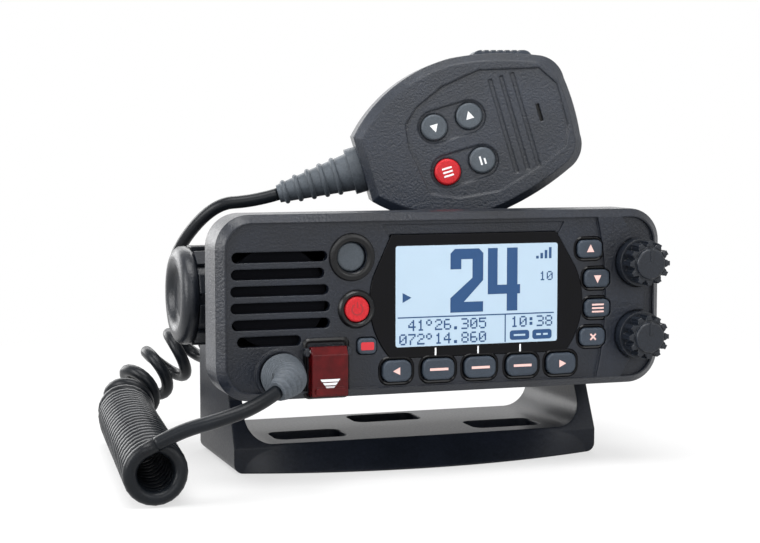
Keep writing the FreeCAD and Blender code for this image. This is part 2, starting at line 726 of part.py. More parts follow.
# Rotary controls: encoder behind the wall, shaft and knurled knob
encoders = []
seals = []
for tag, z in (("volume", dial_up), ("squelch", dial_low)):
    base = box(tag + "_encoder_box", (dial_x - 4.6, wall_y, up(z - 4.6)), (9.2, 9.2, 9.2))
    bush = rod(tag + "_encoder_bush", "Y", (dial_x, wall_y - 1.6, up(z)), 3.5, 4)
    hole = rod(tag + "_encoder_bore", "Y", (dial_x, wall_y - 3, up(z)), 2.05, 14)
    encoders.append(cut(tag + "_encoder_shape", fuse(tag + "_encoder_solid", [base, bush]), [hole]))
    seal = rod(tag + "_seal_disc", "Y", (dial_x, face_y, up(z)), 3.5, wall_y - 1.6 - face_y)
    seal_hole = rod(tag + "_seal_bore", "Y", (dial_x, face_y - 1, up(z)), 2.05, 5)
    seals.append(cut(tag + "_seal_shape", seal, [seal_hole]))
    node(tag + "_shaft", rod(tag + "_shaft_rod", "Y", (dial_x, dial_front + 3, up(z)), 2, wall_y + 6 - dial_front - 3))
    body = new_body(tag + "_knob")
    sk = new_sketch(body, tag + "_skirt", "Y", dial_front + 6.4)
    circles(sk, [(dial_x, up(z), dial_skirt)])
    pad(body, sk, face_y - 0.25 - dial_front - 6.4)
    sk = new_sketch(body, tag + "_barrel", "Y", dial_front + 1.2)
    circles(sk, [(dial_x, up(z), lift(5.6))])
    pad(body, sk, 6)
    for k in range(12):
        angle = math.radians(90 + 30 * k)
        sk = new_sketch(body, "%s_tooth_%d" % (tag, k), "Y", dial_front + 1.2)
        cx = dial_x + 5.5 * math.cos(angle)
        cz = up(z + 5.5 * math.sin(angle))
        circles(sk, [(cx, cz, lift(1.25))])
        pad(body, sk, 5.6)
    sk = new_sketch(body, tag + "_cap", "Y", dial_front)
    circles(sk, [(dial_x, up(z), lift(5.0))])
    pad(body, sk, 2)
    soften(body, "Fillet", 0.6, flat_at("Y", dial_front.value))
    sk = new_sketch(body, tag + "_shaft_hole", "Y", dial_front + 3)
    circles(sk, [(dial_x, up(z), lift(2.0))])
    pocket(body, sk, 14)
    node(tag + "_knob", body)
node("knob_encoders", fuse("encoders_set", encoders))
node("knob_seals", fuse("seals_set", seals))

# Boards, key mat and speaker
body = new_body("front_board")
sk = new_sketch(body, "front_board_outline", "Y", board_y)
outline(sk, [(lift(-46), up(-25)), (lift(60), up(-25)), (lift(60), up(24.5)), (lift(-37.5), up(24.5)),
             (lift(-37.5), up(-14.5)), (lift(-46), up(-14.5))])
pad(body, sk, 1.6)
node("front_board", body)
body = new_body("key_mat")
sk = new_sketch(body, "mat_outline", "Y", board_y - 0.8)
outline(sk, [(lift(-45.8), up(-24.9)), (lift(57.5), up(-24.9)), (lift(57.5), up(20)), (lift(44.5), up(20)),
             (lift(44.5), up(-16.8)), (lift(-22.5), up(-16.8)), (lift(-22.5), up(20)), (lift(-37), up(20)),
             (lift(-37), up(-15)), (lift(-45.8), up(-15))])
pad(body, sk, 0.8)
node("key_mat", body)
node("grille_membrane", rod("membrane", "Y", (speaker_x, wall_y, up(speaker_z)), speaker_r, 0.5))
rim = rod("speaker_rim", "Y", (speaker_x, wall_y + 0.5, up(speaker_z)), speaker_r, 2.5)
basket = cone("speaker_basket", "Y", (speaker_x, wall_y + 3, up(speaker_z)), speaker_r, 9, 4)
magnet = rod("speaker_magnet", "Y", (speaker_x, wall_y + 7, up(speaker_z)), 9, 4)
hollow = rod("speaker_hollow", "Y", (speaker_x, wall_y, up(speaker_z)), speaker_r - 1.6, 3)
taper = cone("speaker_taper", "Y", (speaker_x, wall_y + 3, up(speaker_z)), speaker_r - 1.6, 5, 3.4)
node("speaker_frame", cut("speaker_frame_shape", fuse("speaker_solid", [rim, basket, magnet]), [hollow, taper]))
surround = rod("cone_surround", "Y", (speaker_x, wall_y + 2, up(speaker_z)), speaker_r - 1.6, 1)
cone_out = cone("cone_outer", "Y", (speaker_x, wall_y + 3, up(speaker_z)), speaker_r - 1.6, 5, 3.4)
cone_in = cone("cone_inner", "Y", (speaker_x, wall_y + 2, up(speaker_z)), speaker_r - 1.9, 4.4, 3.6)
node("speaker_cone", cut("speaker_cone_shape", fuse("cone_solid", [surround, cone_out]), [cone_in]))
node("main_board", box("main_board_plate", (lift(-50), lift(-22), board_z), (lift(100), lift(52), lift(1.6))))

# Rear fittings
body_rod = rod("socket_flange", "Y", (socket_x, chassis_back, up(socket_z)), 10, 2.5)
barrel = rod("socket_barrel", "Y", (socket_x, chassis_back - 6, up(socket_z)), 6.5, 8)
thread = rod("socket_thread", "Y", (socket_x, chassis_back + 2.5, up(socket_z)), antenna_r, antenna_length)
mouth = rod("socket_mouth", "Y", (socket_x, chassis_back + 5, up(socket_z)), 5.5, 20)
pin_outer = rod("socket_contact", "Y", (socket_x, chassis_back + 2, up(socket_z)), 2.6, antenna_length - 1)
pin_inner = rod("socket_contact_bore", "Y", (socket_x, chassis_back + 5, up(socket_z)), 2.0, 20)
shell = cut("socket_shell", fuse("socket_solid", [body_rod, barrel, thread]), [mouth])
node("antenna_socket", cut("antenna_socket_shape", fuse("socket_all", [shell, pin_outer]), [pin_inner]))
glands = []
for tag, x in (("power", 28), ("data", 44)):
    flange = rod(tag + "_gland_flange", "Y", (lift(x), chassis_back, up(gland_z)), 6, 3)
    neck = rod(tag + "_gland_neck", "Y", (lift(x), chassis_back - 5, up(gland_z)), 4, 6)
    nose = cone(tag + "_gland_nose", "Y", (lift(x), chassis_back + 3, up(gland_z)), 5, 3.6, 7)
    through = rod(tag + "_gland_bore", "Y", (lift(x), chassis_back - 8, up(gland_z)), 2.2, 24)
    glands.append(cut(tag + "_gland", fuse(tag + "_gland_solid", [flange, neck, nose]), [through]))
node("cable_glands", fuse("glands_set", glands))

# Front cord boot: collar, ribbed taper and a bend towards the cord
boot_turn = 60.0
boot_dip = 25.0
collar = rod("boot_collar", "Y", (boot_x, face_y - 2, up(boot_z)), 6.7, 2)
root = rod("boot_root", "Y", (boot_x, face_y - 0.5, up(boot_z)), 3.1, 4.5)
taper = cone("boot_taper", "Y", (boot_x, lift(-57.0), up(boot_z)), 4.4, 6.2, 6.4)
ribs = []
for k in range(3):
    ribs.append(ring("boot_rib_%d" % k, "Y", (boot_x, lift(-56.2 + 2.0 * k), up(boot_z)), 4.6 + 0.55 * k, 0.7))
bend = doc.addObject("Part::Torus", "boot_bend")
bind(bend, "Radius1", boot_bend)
bend.Radius2 = 4.2
bend.Angle3 = boot_turn
dip = math.radians(boot_dip)
side = V(-math.cos(dip), 0, -math.sin(dip))
forward = V(0, -1, 0)
axis = side.cross(forward) * -1
matrix = FreeCAD.Matrix(
    -side.x, forward.x, (side * -1).cross(forward).x, 0,
    -side.y, forward.y, (side * -1).cross(forward).y, 0,
    -side.z, forward.z, (side * -1).cross(forward).z, 0,
    0, 0, 0, 1)
centre = V(boot_x.value, -57.0, (axis_height + boot_z).value) + side * boot_bend.value
bend.Placement = FreeCAD.Placement(centre, FreeCAD.Placement(matrix).Rotation)
angle = math.radians(boot_turn)
tip_dir = side * math.sin(angle) + forward * math.cos(angle)
bend_end = centre - side * (boot_bend.value * math.cos(angle)) + forward * (boot_bend.value * math.sin(angle))
nose = doc.addObject("Part::Cone", "boot_nose")
nose.Radius1 = 4.2
nose.Radius2 = 3.5
nose.Height = 2.0
nose.Placement = FreeCAD.Placement(bend_end, FreeCAD.Rotation(V(0, 0, 1), tip_dir))
lead_start = bend_end + tip_dir * 2.0
node("cord_boot", fuse("cord_boot_shape", [collar, root, taper, bend, nose] + ribs))
# Fist microphone, drawn in its own frame (x towards its head, y from its face inwards) and stood on the chassis
mic_turn = FreeCAD.Rotation(V(0, 0, 1), -mic_yaw).multiply(FreeCAD.Rotation(V(0, 1, 0), -mic_lean))


def mic_node(name, obj):
    obj.Placement = FreeCAD.Placement(V(mic_x.value, mic_y.value, mic_z.value), mic_turn)
    for letter, value in zip("xyz", (mic_x, mic_y, mic_z)):
        bind(obj, "Placement.Base." + letter, value)
    return node(name, obj)


def mic_outline(sketch, inset):
    c = mic_mid
    tail, wide, head, end = 11.5 - inset * 0.6, 27.5 - inset, 20.0 - inset, 10.0 - inset * 0.5
    x0, x2, x3 = -34.0 + inset, 34.0 - inset * 0.5, 40.6 - inset
    outline(sketch, [
        (lift(x0), c - tail, lift(51.7)), (lift(5), c - wide, lift(94)), (lift(x2), c - head, lift(10 - inset * 0.4)),
        (lift(x3), c - end, lift(80)), (lift(x3), c + end, lift(10 - inset * 0.4)), (lift(x2), c + head, lift(94)),
        (lift(5), c + wide, lift(51.7)), (lift(x0), c + tail),
    ])


def taper_to(body, name, at, inset, full_at):
    small = new_sketch(body, name + "_small", "Y", at)
    mic_outline(small, inset)
    full = new_sketch(body, name + "_full", "Y", full_at)
    mic_outline(full, 0.0)
    feature = doc.addObject("PartDesign::AdditiveLoft", name)
    body.addObject(feature)
    feature.Profile = full
    feature.Sections = [small]
    feature.Ruled = True


MIC_KEYS = [("mic_down_key", -6.9, 8.9), ("mic_up_key", 5.6, 9.2), ("mic_red_key", -6.8, -6.8), ("mic_grey_key", 5.7, -6.4)]
MIC_POSTS = [(-24.0, 2.2), (31.0, -11.0), (31.0, 9.5)]
body = new_body("mic_front_case")
sk = new_sketch(body, "mic_front_block", "Y", mic_edge)
mic_outline(sk, 0.0)
pad(body, sk, mic_seam - mic_edge)
taper_to(body, "mic_face", 0, 2.4, mic_edge)
sk = new_sketch(body, "mic_front_inside", "Y", lift(2.4))
mic_outline(sk, 2.2)
pocket(body, sk, 20)
sk = new_sketch(body, "mic_front_posts", "Y", lift(2.4))
circles(sk, [(lift(x), lift(z), lift(3.0)) for x, z in MIC_POSTS])
pad(body, sk, mic_seam - 2.4)
sk = new_sketch(body, "mic_board_posts", "Y", lift(2.0))
circles(sk, [(lift(-16), lift(-12), lift(1.8)), (lift(-16), lift(14), lift(1.8)), (lift(20), lift(-14), lift(1.8))])
pad(body, sk, 2.4)
sk = new_sketch(body, "mic_post_holes", "Y", lift(4))
circles(sk, [(lift(x), lift(z), lift(1.2)) for x, z in MIC_POSTS])
pocket(body, sk, 14)
sk = new_sketch(body, "mic_panel", "Y", lift(-1))
PANEL = [(-5.3, -16.5), (8.4, -18.2), (23.7, -14.3), (34.5, -10.1), (37.2, -3.2), (37.4, 11.2), (33, 18.0), (13, 23.2),
         (-0.6, 21.4), (-10.8, 17.2), (-16.1, 12.6), (-17.2, 5), (-14.8, -12)]
outline(sk, [(lift(x), lift(z)) for x, z in PANEL])
pocket(body, sk, 1.7)
for k, z in enumerate((9.05, -6.6)):
    sk = new_sketch(body, "mic_well_%d" % k, "Y", lift(-1))
    capsule(sk, lift(-6.9), lift(5.7), lift(z), lift(5.6))
    pocket(body, sk, 2.3)
for k in range(3):
    sk = new_sketch(body, "mic_groove_%d" % k, "Y", lift(-1))
    outline(sk, [(lift(15.2 + 3.9 * k), lift(-14)), (lift(16.6 + 3.9 * k), lift(-14)),
                 (lift(16.6 + 3.9 * k), lift(19)), (lift(15.2 + 3.9 * k), lift(19))])
    pocket(body, sk, 2.2)
sk = new_sketch(body, "mic_sound_slot", "Y", lift(-1))
outline(sk, [(lift(28.4), lift(0.4)), (lift(29.6), lift(0.4)), (lift(29.6), lift(6.4)), (lift(28.4), lift(6.4))])
pocket(body, sk, 5)
sk = new_sketch(body, "mic_key_holes", "Y", lift(-1))
circles(sk, [(lift(x), lift(z), mic_key_r + 0.25) for name, x, z in MIC_KEYS])
pocket(body, sk, 5)
sk = new_sketch(body, "mic_front_ptt_gap", "Y", lift(8))
outline(sk, [(lift(12.6), lift(15)), (lift(33.2), lift(15)), (lift(33.2), lift(33)), (lift(12.6), lift(33))])
pocket(body, sk, 14)
sk = new_sketch(body, "mic_front_cord_hole", "X", lift(-37))
circles(sk, [(lift(15), mic_mid, lift(4.0))])
pocket(body, sk, 7, "X")
mic_node("mic_front_case", body)

body = new_body("mic_rear_case")
sk = new_sketch(body, "mic_rear_block", "Y", mic_seam)
mic_outline(sk, 0.0)
pad(body, sk, mic_depth - mic_seam - mic_edge - 1)
taper_to(body, "mic_back", mic_depth, 3.2, mic_depth - mic_edge - 1)
sk = new_sketch(body, "mic_rear_inside", "Y", mic_seam - 1)
mic_outline(sk, 2.2)
pocket(body, sk, mic_depth - 2.6 - mic_seam + 1)
sk = new_sketch(body, "mic_rear_posts", "Y", mic_seam)
circles(sk, [(lift(x), lift(z), lift(3.0)) for x, z in MIC_POSTS])
pad(body, sk, mic_depth - 2 - mic_seam)
sk = new_sketch(body, "mic_rear_post_holes", "Y", mic_seam - 1)
circles(sk, [(lift(x), lift(z), lift(1.2)) for x, z in MIC_POSTS])
pocket(body, sk, 20)
sk = new_sketch(body, "mic_rear_head_seats", "Y", mic_depth - 2.4)
circles(sk, [(lift(x), lift(z), lift(2.4)) for x, z in MIC_POSTS])
pocket(body, sk, 5)
sk = new_sketch(body, "mic_rear_ptt_gap", "Y", mic_seam - 2)
outline(sk, [(lift(12.6), lift(15)), (lift(33.2), lift(15)), (lift(33.2), lift(33)), (lift(12.6), lift(33))])
pocket(body, sk, 10)
sk = new_sketch(body, "mic_rear_cord_hole", "X", lift(-37))
circles(sk, [(lift(15), mic_mid, lift(4.0))])
pocket(body, sk, 7, "X")
sk = new_sketch(body, "mic_hang_hole", "Y", mic_depth - 5)
circles(sk, [(lift(14), mic_mid, lift(2.5))])
pocket(body, sk, 8)
mic_node("mic_rear_case", body)

body = new_body("mic_ptt")
sk = new_sketch(body, "ptt_block", "Y", lift(8.2))
outline(sk, [(lift(12.85), lift(18)), (lift(32.95), lift(18)), (lift(32.95), lift(22.6), lift(3.0)),
             (lift(30.6), lift(25.2)), (lift(16.6), lift(29.4), lift(3.2)), (lift(12.85), lift(27.2))])
pad(body, sk, 13.6)
sk = new_sketch(body, "ptt_lip", "Y", lift(8.8))
outline(sk, [(lift(10.8), lift(16.8)), (lift(33.2), lift(16.8)), (lift(33.2), lift(18.4)), (lift(10.8), lift(18.4))])
pad(body, sk, 12.4)
for k in range(6):
    # grooves across the bar's sloping top
    x = 17.0 + 2.3 * k
    groove_floor = 28.7 - 0.3 * (x - 16.6)
    sk = new_sketch(body, "ptt_rib_%d" % k, "Y", lift(7))
    outline(sk, [(lift(x), lift(groove_floor)), (lift(x + 1.0), lift(groove_floor)), (lift(x + 1.0), lift(33)),
                 (lift(x), lift(33))])
    pocket(body, sk, 16)
mic_node("mic_ptt", body)
for name, x, z in MIC_KEYS:
    cap = rod(name + "_cap", "Y", (lift(x), lift(-0.7), lift(z)), mic_key_r, 3.1)
    edge = doc.addObject("Part::Chamfer", name + "_edge")
    edge.Base = cap
    doc.recompute()
    edge.Edges = [(i + 1, 0.5, 0.5) for i, e in enumerate(cap.Shape.Edges) if flat_at("Y", -0.7)(e)]
    lip = rod(name + "_lip", "Y", (lift(x), lift(2.4), lift(z)), mic_key_r + 0.9, 0.8)
    mic_node(name, fuse(name + "_shape", [edge, lip]))
plate = box("mic_board_plate", (lift(-20.6), lift(4.4), lift(-15)), (lift(43.2), lift(1.6), lift(30)))
mic_node("mic_board", plate)
plate.Placement.Rotation = mic_turn
mic_frame = FreeCAD.Placement(V(mic_x.value, mic_y.value, mic_z.value), mic_turn)
corner = mic_frame.multVec(V(-20.6, 4.4, -15))
for prop in ("x", "y", "z"):
    plate.setExpression("Placement.Base." + prop, None)
plate.Placement = FreeCAD.Placement(corner, mic_turn)
capsule_disc = rod("mic_capsule", "Y", (lift(27.6), lift(2.4), lift(2.2)), 4.4, 3)
capsule_back = rod("mic_capsule_back", "Y", (lift(27.6), lift(5.4), lift(2.2)), 3.6, 1.2)
element = fuse("mic_element_shape", [capsule_disc, capsule_back])
mic_node("mic_element", element)
post = rod("hang_post", "Y", (lift(14), mic_depth - 4, mic_mid), 2.5, 7.5)
flange = rod("hang_flange", "Y", (lift(14), mic_depth, mic_mid), 6, 1)
head = rod("hang_head", "Y", (lift(14), mic_depth + 3.5, mic_mid), 8, 2)
mic_node("mic_hang_button", fuse("hang_button_shape", [post, flange, head]))
screws = []
for k, (x, z) in enumerate(MIC_POSTS):
    head = rod("mic_screw_head_%d" % k, "Y", (lift(x), mic_depth - 2.4, lift(z)), 2.4, 1.6)
    shank = rod("mic_screw_shank_%d" % k, "Y", (lift(x), lift(6), lift(z)), 1.2, mic_depth - 8.4)
    drive = rod("mic_screw_drive_%d" % k, "Y", (lift(x), mic_depth - 1.6, lift(z)), 1.0, 2)
    screws.append(cut("mic_screw_%d" % k, fuse("mic_screw_solid_%d" % k, [head, shank]), [drive]))
mic_node("mic_screws", fuse("mic_screws_set", screws))
collar = rod("mic_collar", "X", (lift(-38), lift(15), mic_mid), 8.0, 4)
root = rod("mic_boot_root", "X", (lift(-35), lift(15), mic_mid), 4.0, 6)
taper = cone("mic_boot_taper", "X", (lift(-64), lift(15), mic_mid), 3.1, 6.6, 26)
ribs = [ring("mic_boot_rib_%d" % k, "X", (lift(-61.5 + 4.6 * k), lift(15), mic_mid), 3.3 + 0.62 * k, 0.9) for k in range(5)]
mic_node("mic_boot", fuse("mic_boot_shape", [collar, root, taper] + ribs))
# Cord: a plain lead from the front boot, the coil on the floor, a plain tail to the microphone


def tube(path, start, radius):
    edges = path.Edges
    t = edges[0].tangentAt(edges[0].FirstParameter)
    disc = Part.Wire([Part.makeCircle(radius, start, t)])
    shell = Part.BRepOffsetAPI.MakePipeShell(path)
    shell.add(disc)
    shell.build()
    shell.makeSolid()
    return shell.shape()


def route(points):
    # straight runs joined by tangent arcs
    edges = []
    radii = []
    here = points[0]
    for i in range(1, len(points) - 1):
        a, b, c = points[i - 1], points[i], points[i + 1]
        u1 = (b - a).normalize()
        u2 = (c - b).normalize()
        turn = u1.getAngle(u2)
        cutback = 0.45 * min((b - a).Length, (c - b).Length)
        radii.append(cutback / math.tan(turn / 2))
        p = b - u1 * cutback
        q = b + u2 * cutback
        bis = (u2 - u1).normalize()
        dist = radii[-1] / math.cos(turn / 2)
        middle = b + bis * (dist - radii[-1])
        edges.append(Part.LineSegment(here, p).toShape())
        edges.append(Part.Arc(p, middle, q).toShape())
        here = q
    edges.append(Part.LineSegment(here, points[-1]).toShape())
    print("arc radii", [round(r, 1) for r in radii])
    return Part.Wire(edges)


def cord_node(name, shape):
    obj = doc.addObject("Part::Feature", name)
    obj.Shape = shape
    print(name, "valid", shape.isValid(), "volume", round(shape.Volume, 1))
    return node(name, obj)


tight_turns = 21
start_turn = 0.08
loose_turns = 6
# centre line of the coil: along the floor to the back, then slanting up behind the left arm and the case
SPINE = [V(-97.5, -66.0, 10.1), V(-91.7, -8.0, 10.1), V(-86.0, 50.0, 10.1), V(-80.0, 61.5, 14.5), V(-70.8, 67.0, 21.5),
         V(-60.5, 68.0, 29.0), V(-50.0, 68.0, 37.0), V(-42.0, 66.0, 45.0)]


def spine_runs():
    runs = []
    here = SPINE[0]
    for i in range(1, len(SPINE) - 1):
        a, b, c = SPINE[i - 1], SPINE[i], SPINE[i + 1]
        u1 = (b - a).normalize()
        u2 = (c - b).normalize()
        turn = u1.getAngle(u2)
        if turn < 0.02:
            continue
        cutback = 0.45 * min((b - a).Length, (c - b).Length)
        radius = cutback / math.tan(turn / 2)
        p = b - u1 * cutback
        runs.append((here, u1, (p - here).Length, None, 0.0))
        normal = (u2 - u1 * u1.dot(u2)).normalize()
        runs.append((p, u1, radius * turn, normal, radius))
        here = b + u2 * cutback
    last = (SPINE[-1] - here)
    runs.append((here, V(last).normalize(), last.Length, None, 0.0))
    return runs


RUNS = spine_runs()
SPINE_LENGTH = sum(r[2] for r in RUNS)


def spine_at(s):
    # point, direction and carried side vector of the centre line at distance s
    side = V(0, 0, 1)
    for start, along, length, normal, radius in RUNS:
        side = (side - along * side.dot(along)).normalize()
        step = min(max(s, 0.0), length) if (start, along) != (RUNS[-1][0], RUNS[-1][1]) else s
        if normal is None:
            point, direction = start + along * step, along
        else:
            angle = step / radius
            point = start + along * (radius * math.sin(angle)) + normal * (radius * (1 - math.cos(angle)))
            direction = along * math.cos(angle) + normal * math.sin(angle)
            axis = along.cross(normal)
            side = FreeCAD.Rotation(axis, math.degrees(angle)).multVec(side)
        if s <= length:
            break
        s -= length
    return point, direction, side


def coil_point(turns):
    # turns counted from the front end; the tight part has one pitch, the loose part grows to another
    low, high = tight_pitch.value, loose_pitch.value
    t = turns - tight_turns
    if t <= 0:
        s = turns * low
        rate = low
    elif t < 1:
        s = tight_turns * low + low * t + (high - low) * t * t / 2
        rate = low + (high - low) * t
    else:
        s = (tight_turns + 1) * low + (high - low) / 2 + high * (t - 1)
        rate = high
    point, along, side = spine_at(s)
    other = along.cross(side)
    angle = 2 * math.pi * turns
    out = side * math.cos(angle) - other * math.sin(angle)
    place_at = point + out * coil_radius.value
    around = side * (-math.sin(angle)) - other * math.cos(angle)
    tangent = around * (2 * math.pi * coil_radius.value) + along * rate
    return place_at, tangent.normalize()


def biarc(p1, t1, p2, t2):
    v = p2 - p1
    t = t1 + t2
    vt = v.dot(t)
    denom = 2 * (1 - t1.dot(t2))
    d = (-vt + math.sqrt(vt * vt + denom * v.dot(v))) / denom if denom > 1e-9 else v.dot(v) / (4 * v.dot(t2))
    pm = (p1 + p2 + (t1 - t2) * d) * 0.5
    edges = []
    for a, direction, b in ((p1, t1, pm), (p2, t2 * -1, pm)):
        chord = b - a
        normal = (chord - direction * chord.dot(direction))
        if normal.Length < 1e-7:
            edges.append(Part.LineSegment(a, b).toShape())
            continue
        half = direction.getAngle(chord)
        radius = chord.Length / (2 * math.sin(half))
        middle = a + direction * (radius * math.sin(half)) + normal.normalize() * (radius * (1 - math.cos(half)))
        edges.append(Part.Arc(a, middle, b).toShape())
    second = edges[1]
    return [edges[0], Part.Arc(second.valueAt(second.LastParameter), second.valueAt((second.FirstParameter + second.LastParameter) / 2),
            second.valueAt(second.FirstParameter)).toShape() if second.Curve.TypeId != "Part::GeomLine" else second]


stops = [start_turn] + [k / 2 for k in range(1, 2 * tight_turns)] + [tight_turns + k / 4 for k in range(4 * loose_turns + 4)]
spots = [coil_point(t) for t in stops]
coil_edges = []
first, first_dir = spots[0]
last, last_dir = spots[-1]
wire_r = cable_r.value
coil_edges.append(Part.LineSegment(first - first_dir * (wire_r * 2), first).toShape())
for (p1, t1), (p2, t2) in zip(spots, spots[1:]):
    coil_edges.extend(biarc(p1, t1, p2, t2))
coil_edges.append(Part.LineSegment(last, last + last_dir * (wire_r * 2)).toShape())
coil_start = first - first_dir * (wire_r * 2)
coil_end = last + last_dir * (wire_r * 2)
gap = 1e9
fine = [coil_point(k / 24)[0] for k in range(24 * (tight_turns + loose_turns))]
for i in range(len(fine)):
    for j in range(i + 14, min(i + 40, len(fine))):
        gap = min(gap, (fine[i] - fine[j]).Length)
print("spine", round(SPINE_LENGTH, 1), "least gap of the coil to itself", round(gap - wire_r * 2, 2), "lowest",
      round(min(p.z for p in fine) - wire_r, 2))
print("coil start", coil_start, first_dir, "end", coil_end, last_dir)
coil_path = Part.Wire(coil_edges)
coil_shape = tube(coil_path, coil_start, wire_r)
print("coil length", round(coil_path.Length, 1), "expected volume", round(coil_path.Length * math.pi * wire_r ** 2, 1))
cord_node("cord_coil", coil_shape)
lead_route = [lead_start, lead_start + tip_dir * 9.0, V(-80.0, -71.2, 25.8), coil_start - first_dir * 8.0, coil_start]
lead_path = route(lead_route)
print("lead length", round(lead_path.Length, 1), "expected volume", round(lead_path.Length * math.pi * wire_r ** 2, 1))
cord_node("cord_lead", tube(lead_path, lead_start, wire_r))
mic_end = mic_frame.multVec(V(-64, 15, mic_mid.value))
mic_dir = mic_turn.multVec(V(-1, 0, 0))
tail_route = [coil_end, coil_end + last_dir * 9.0, V(-61.3, 51.1, 52.7), V(-70.9, 41.4, 64.3), V(-58.8, 25.5, 84.9),
              mic_end + mic_dir * 8.5, mic_end]
tail_path = route(tail_route)
print("tail points", tail_route)
print("tail length", round(tail_path.Length, 1), "expected volume", round(tail_path.Length * math.pi * wire_r ** 2, 1))
cord_node("cord_tail", tube(tail_path, coil_end, wire_r))

doc.recompute()
for obj in doc.Objects:
    if "Invalid" in obj.State or "Error" in obj.State:
        raise ValueError("object in error: " + obj.Name)
names = set()
for name, obj in nodes:
    shape = obj.Shape
    if shape.isNull() or not shape.isValid() or not shape.Solids:
        raise ValueError("bad shape: " + name)
    if name in names:
        raise ValueError("name used twice: " + name)
    names.add(name)
    bounds = shape.BoundBox
    print(name, len(shape.Solids), round(shape.Volume, 1), [round(v, 2) for v in (
        bounds.XMin, bounds.XMax, bounds.YMin, bounds.YMax, bounds.ZMin, bounds.ZMax)])
    shape.exportStep("parts/" + name + ".step")
print("nodes", len(nodes))
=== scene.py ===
import math
import bmesh
import bpy
from mathutils import Euler, Matrix, Vector


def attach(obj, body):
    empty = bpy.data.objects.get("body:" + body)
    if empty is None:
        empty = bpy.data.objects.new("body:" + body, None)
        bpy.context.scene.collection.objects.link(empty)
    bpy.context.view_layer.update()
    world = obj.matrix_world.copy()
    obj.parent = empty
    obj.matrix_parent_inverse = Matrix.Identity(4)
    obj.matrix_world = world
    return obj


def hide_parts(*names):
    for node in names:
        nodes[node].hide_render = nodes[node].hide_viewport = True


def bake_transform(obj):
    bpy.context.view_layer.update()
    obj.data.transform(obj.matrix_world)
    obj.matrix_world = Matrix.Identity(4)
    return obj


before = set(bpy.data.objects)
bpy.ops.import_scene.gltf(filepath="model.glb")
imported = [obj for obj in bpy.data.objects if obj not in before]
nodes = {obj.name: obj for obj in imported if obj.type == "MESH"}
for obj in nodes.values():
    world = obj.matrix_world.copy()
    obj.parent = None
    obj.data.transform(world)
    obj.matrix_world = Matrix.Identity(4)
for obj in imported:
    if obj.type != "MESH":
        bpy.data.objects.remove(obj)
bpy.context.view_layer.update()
scene = bpy.context.scene
mm = 0.001
axisHeight = 0.056  # tilt axis above the floor
up = axisHeight / mm
driftSize = 18 * mm  # how far a moulding's tone takes to change
toolLine = 0.4 * mm  # lines that a lathe leaves
print("stage: frame loaded,", len(nodes), "nodes")


def toLinear(hexColour):
    # sRGB hex value to a linear colour
    parts = [int(hexColour[i:i + 2], 16) / 255 for i in (1, 3, 5)]
    return tuple(c / 12.92 if c <= 0.04045 else ((c + 0.055) / 1.055) ** 2.4 for c in parts) + (1.0,)


def addNode(tree, kind, settings=None, links=None):
    # one node with its settings and its incoming links {socket: (node, output)}
    made = tree.nodes.new(kind)
    for key, value in (settings or {}).items():
        if isinstance(key, str) and hasattr(made, key) and key not in made.inputs:
            setattr(made, key, value)
        else:
            made.inputs[key].default_value = value
    for key, (source, output) in (links or {}).items():
        tree.links.new(source.outputs[output], made.inputs[key])
    return made


def startMaterial(name):
    made = bpy.data.materials.new(name)
    made.use_nodes = True
    made.node_tree.nodes.clear()
    return made, made.node_tree


def moulded(name, dark, light, roughness, grainMm, grainDepth, edgeMm, specular=0.5, roughSpread=0.08):
    # moulded plastic or rubber: fine spark-eroded grain, slow tone drift, slightly eased edges
    made, tree = startMaterial(name)
    place = (addNode(tree, "ShaderNodeTexCoord"), "Object")
    drift = addNode(tree, "ShaderNodeTexNoise", {"Scale": 1 / driftSize, "Detail": 3.0}, {"Vector": place})
    grain = addNode(tree, "ShaderNodeTexNoise", {"Scale": 1 / (grainMm * mm), "Detail": 2.0, "Roughness": 0.6},
                    {"Vector": place})
    spread = addNode(tree, "ShaderNodeMapRange", {"From Min": 0.3, "From Max": 0.7}, {"Value": (drift, "Fac")})
    tone = addNode(tree, "ShaderNodeMix", {"data_type": "RGBA", 6: toLinear(dark), 7: toLinear(light)},
                   {0: (spread, "Result")})
    speck = addNode(tree, "ShaderNodeMapRange",
                    {"From Min": 0.35, "From Max": 0.65, "To Min": 0.82, "To Max": 1.15},
                    {"Value": (grain, "Fac")})
    mixed = addNode(tree, "ShaderNodeMix", {"data_type": "RGBA", "blend_type": "MULTIPLY", 0: 1.0},
                    {6: (tone, 2), 7: (speck, "Result")})
    rough = addNode(tree, "ShaderNodeMapRange",
                    {"To Min": roughness - roughSpread, "To Max": roughness + roughSpread},
                    {"Value": (grain, "Fac")})
    eased = addNode(tree, "ShaderNodeBevel", {"samples": 4, "Radius": edgeMm * mm})
    bump = addNode(tree, "ShaderNodeBump", {"Strength": 0.6, "Distance": grainDepth * mm},
                   {"Height": (grain, "Fac"), "Normal": (eased, "Normal")})
    shader = addNode(tree, "ShaderNodeBsdfPrincipled", {"IOR": 1.49, "Specular IOR Level": specular},
                     {"Base Color": (mixed, 2), "Roughness": (rough, "Result"), "Normal": (bump, "Normal")})
    addNode(tree, "ShaderNodeOutputMaterial", {}, {"Surface": (shader, "BSDF")})
    return made


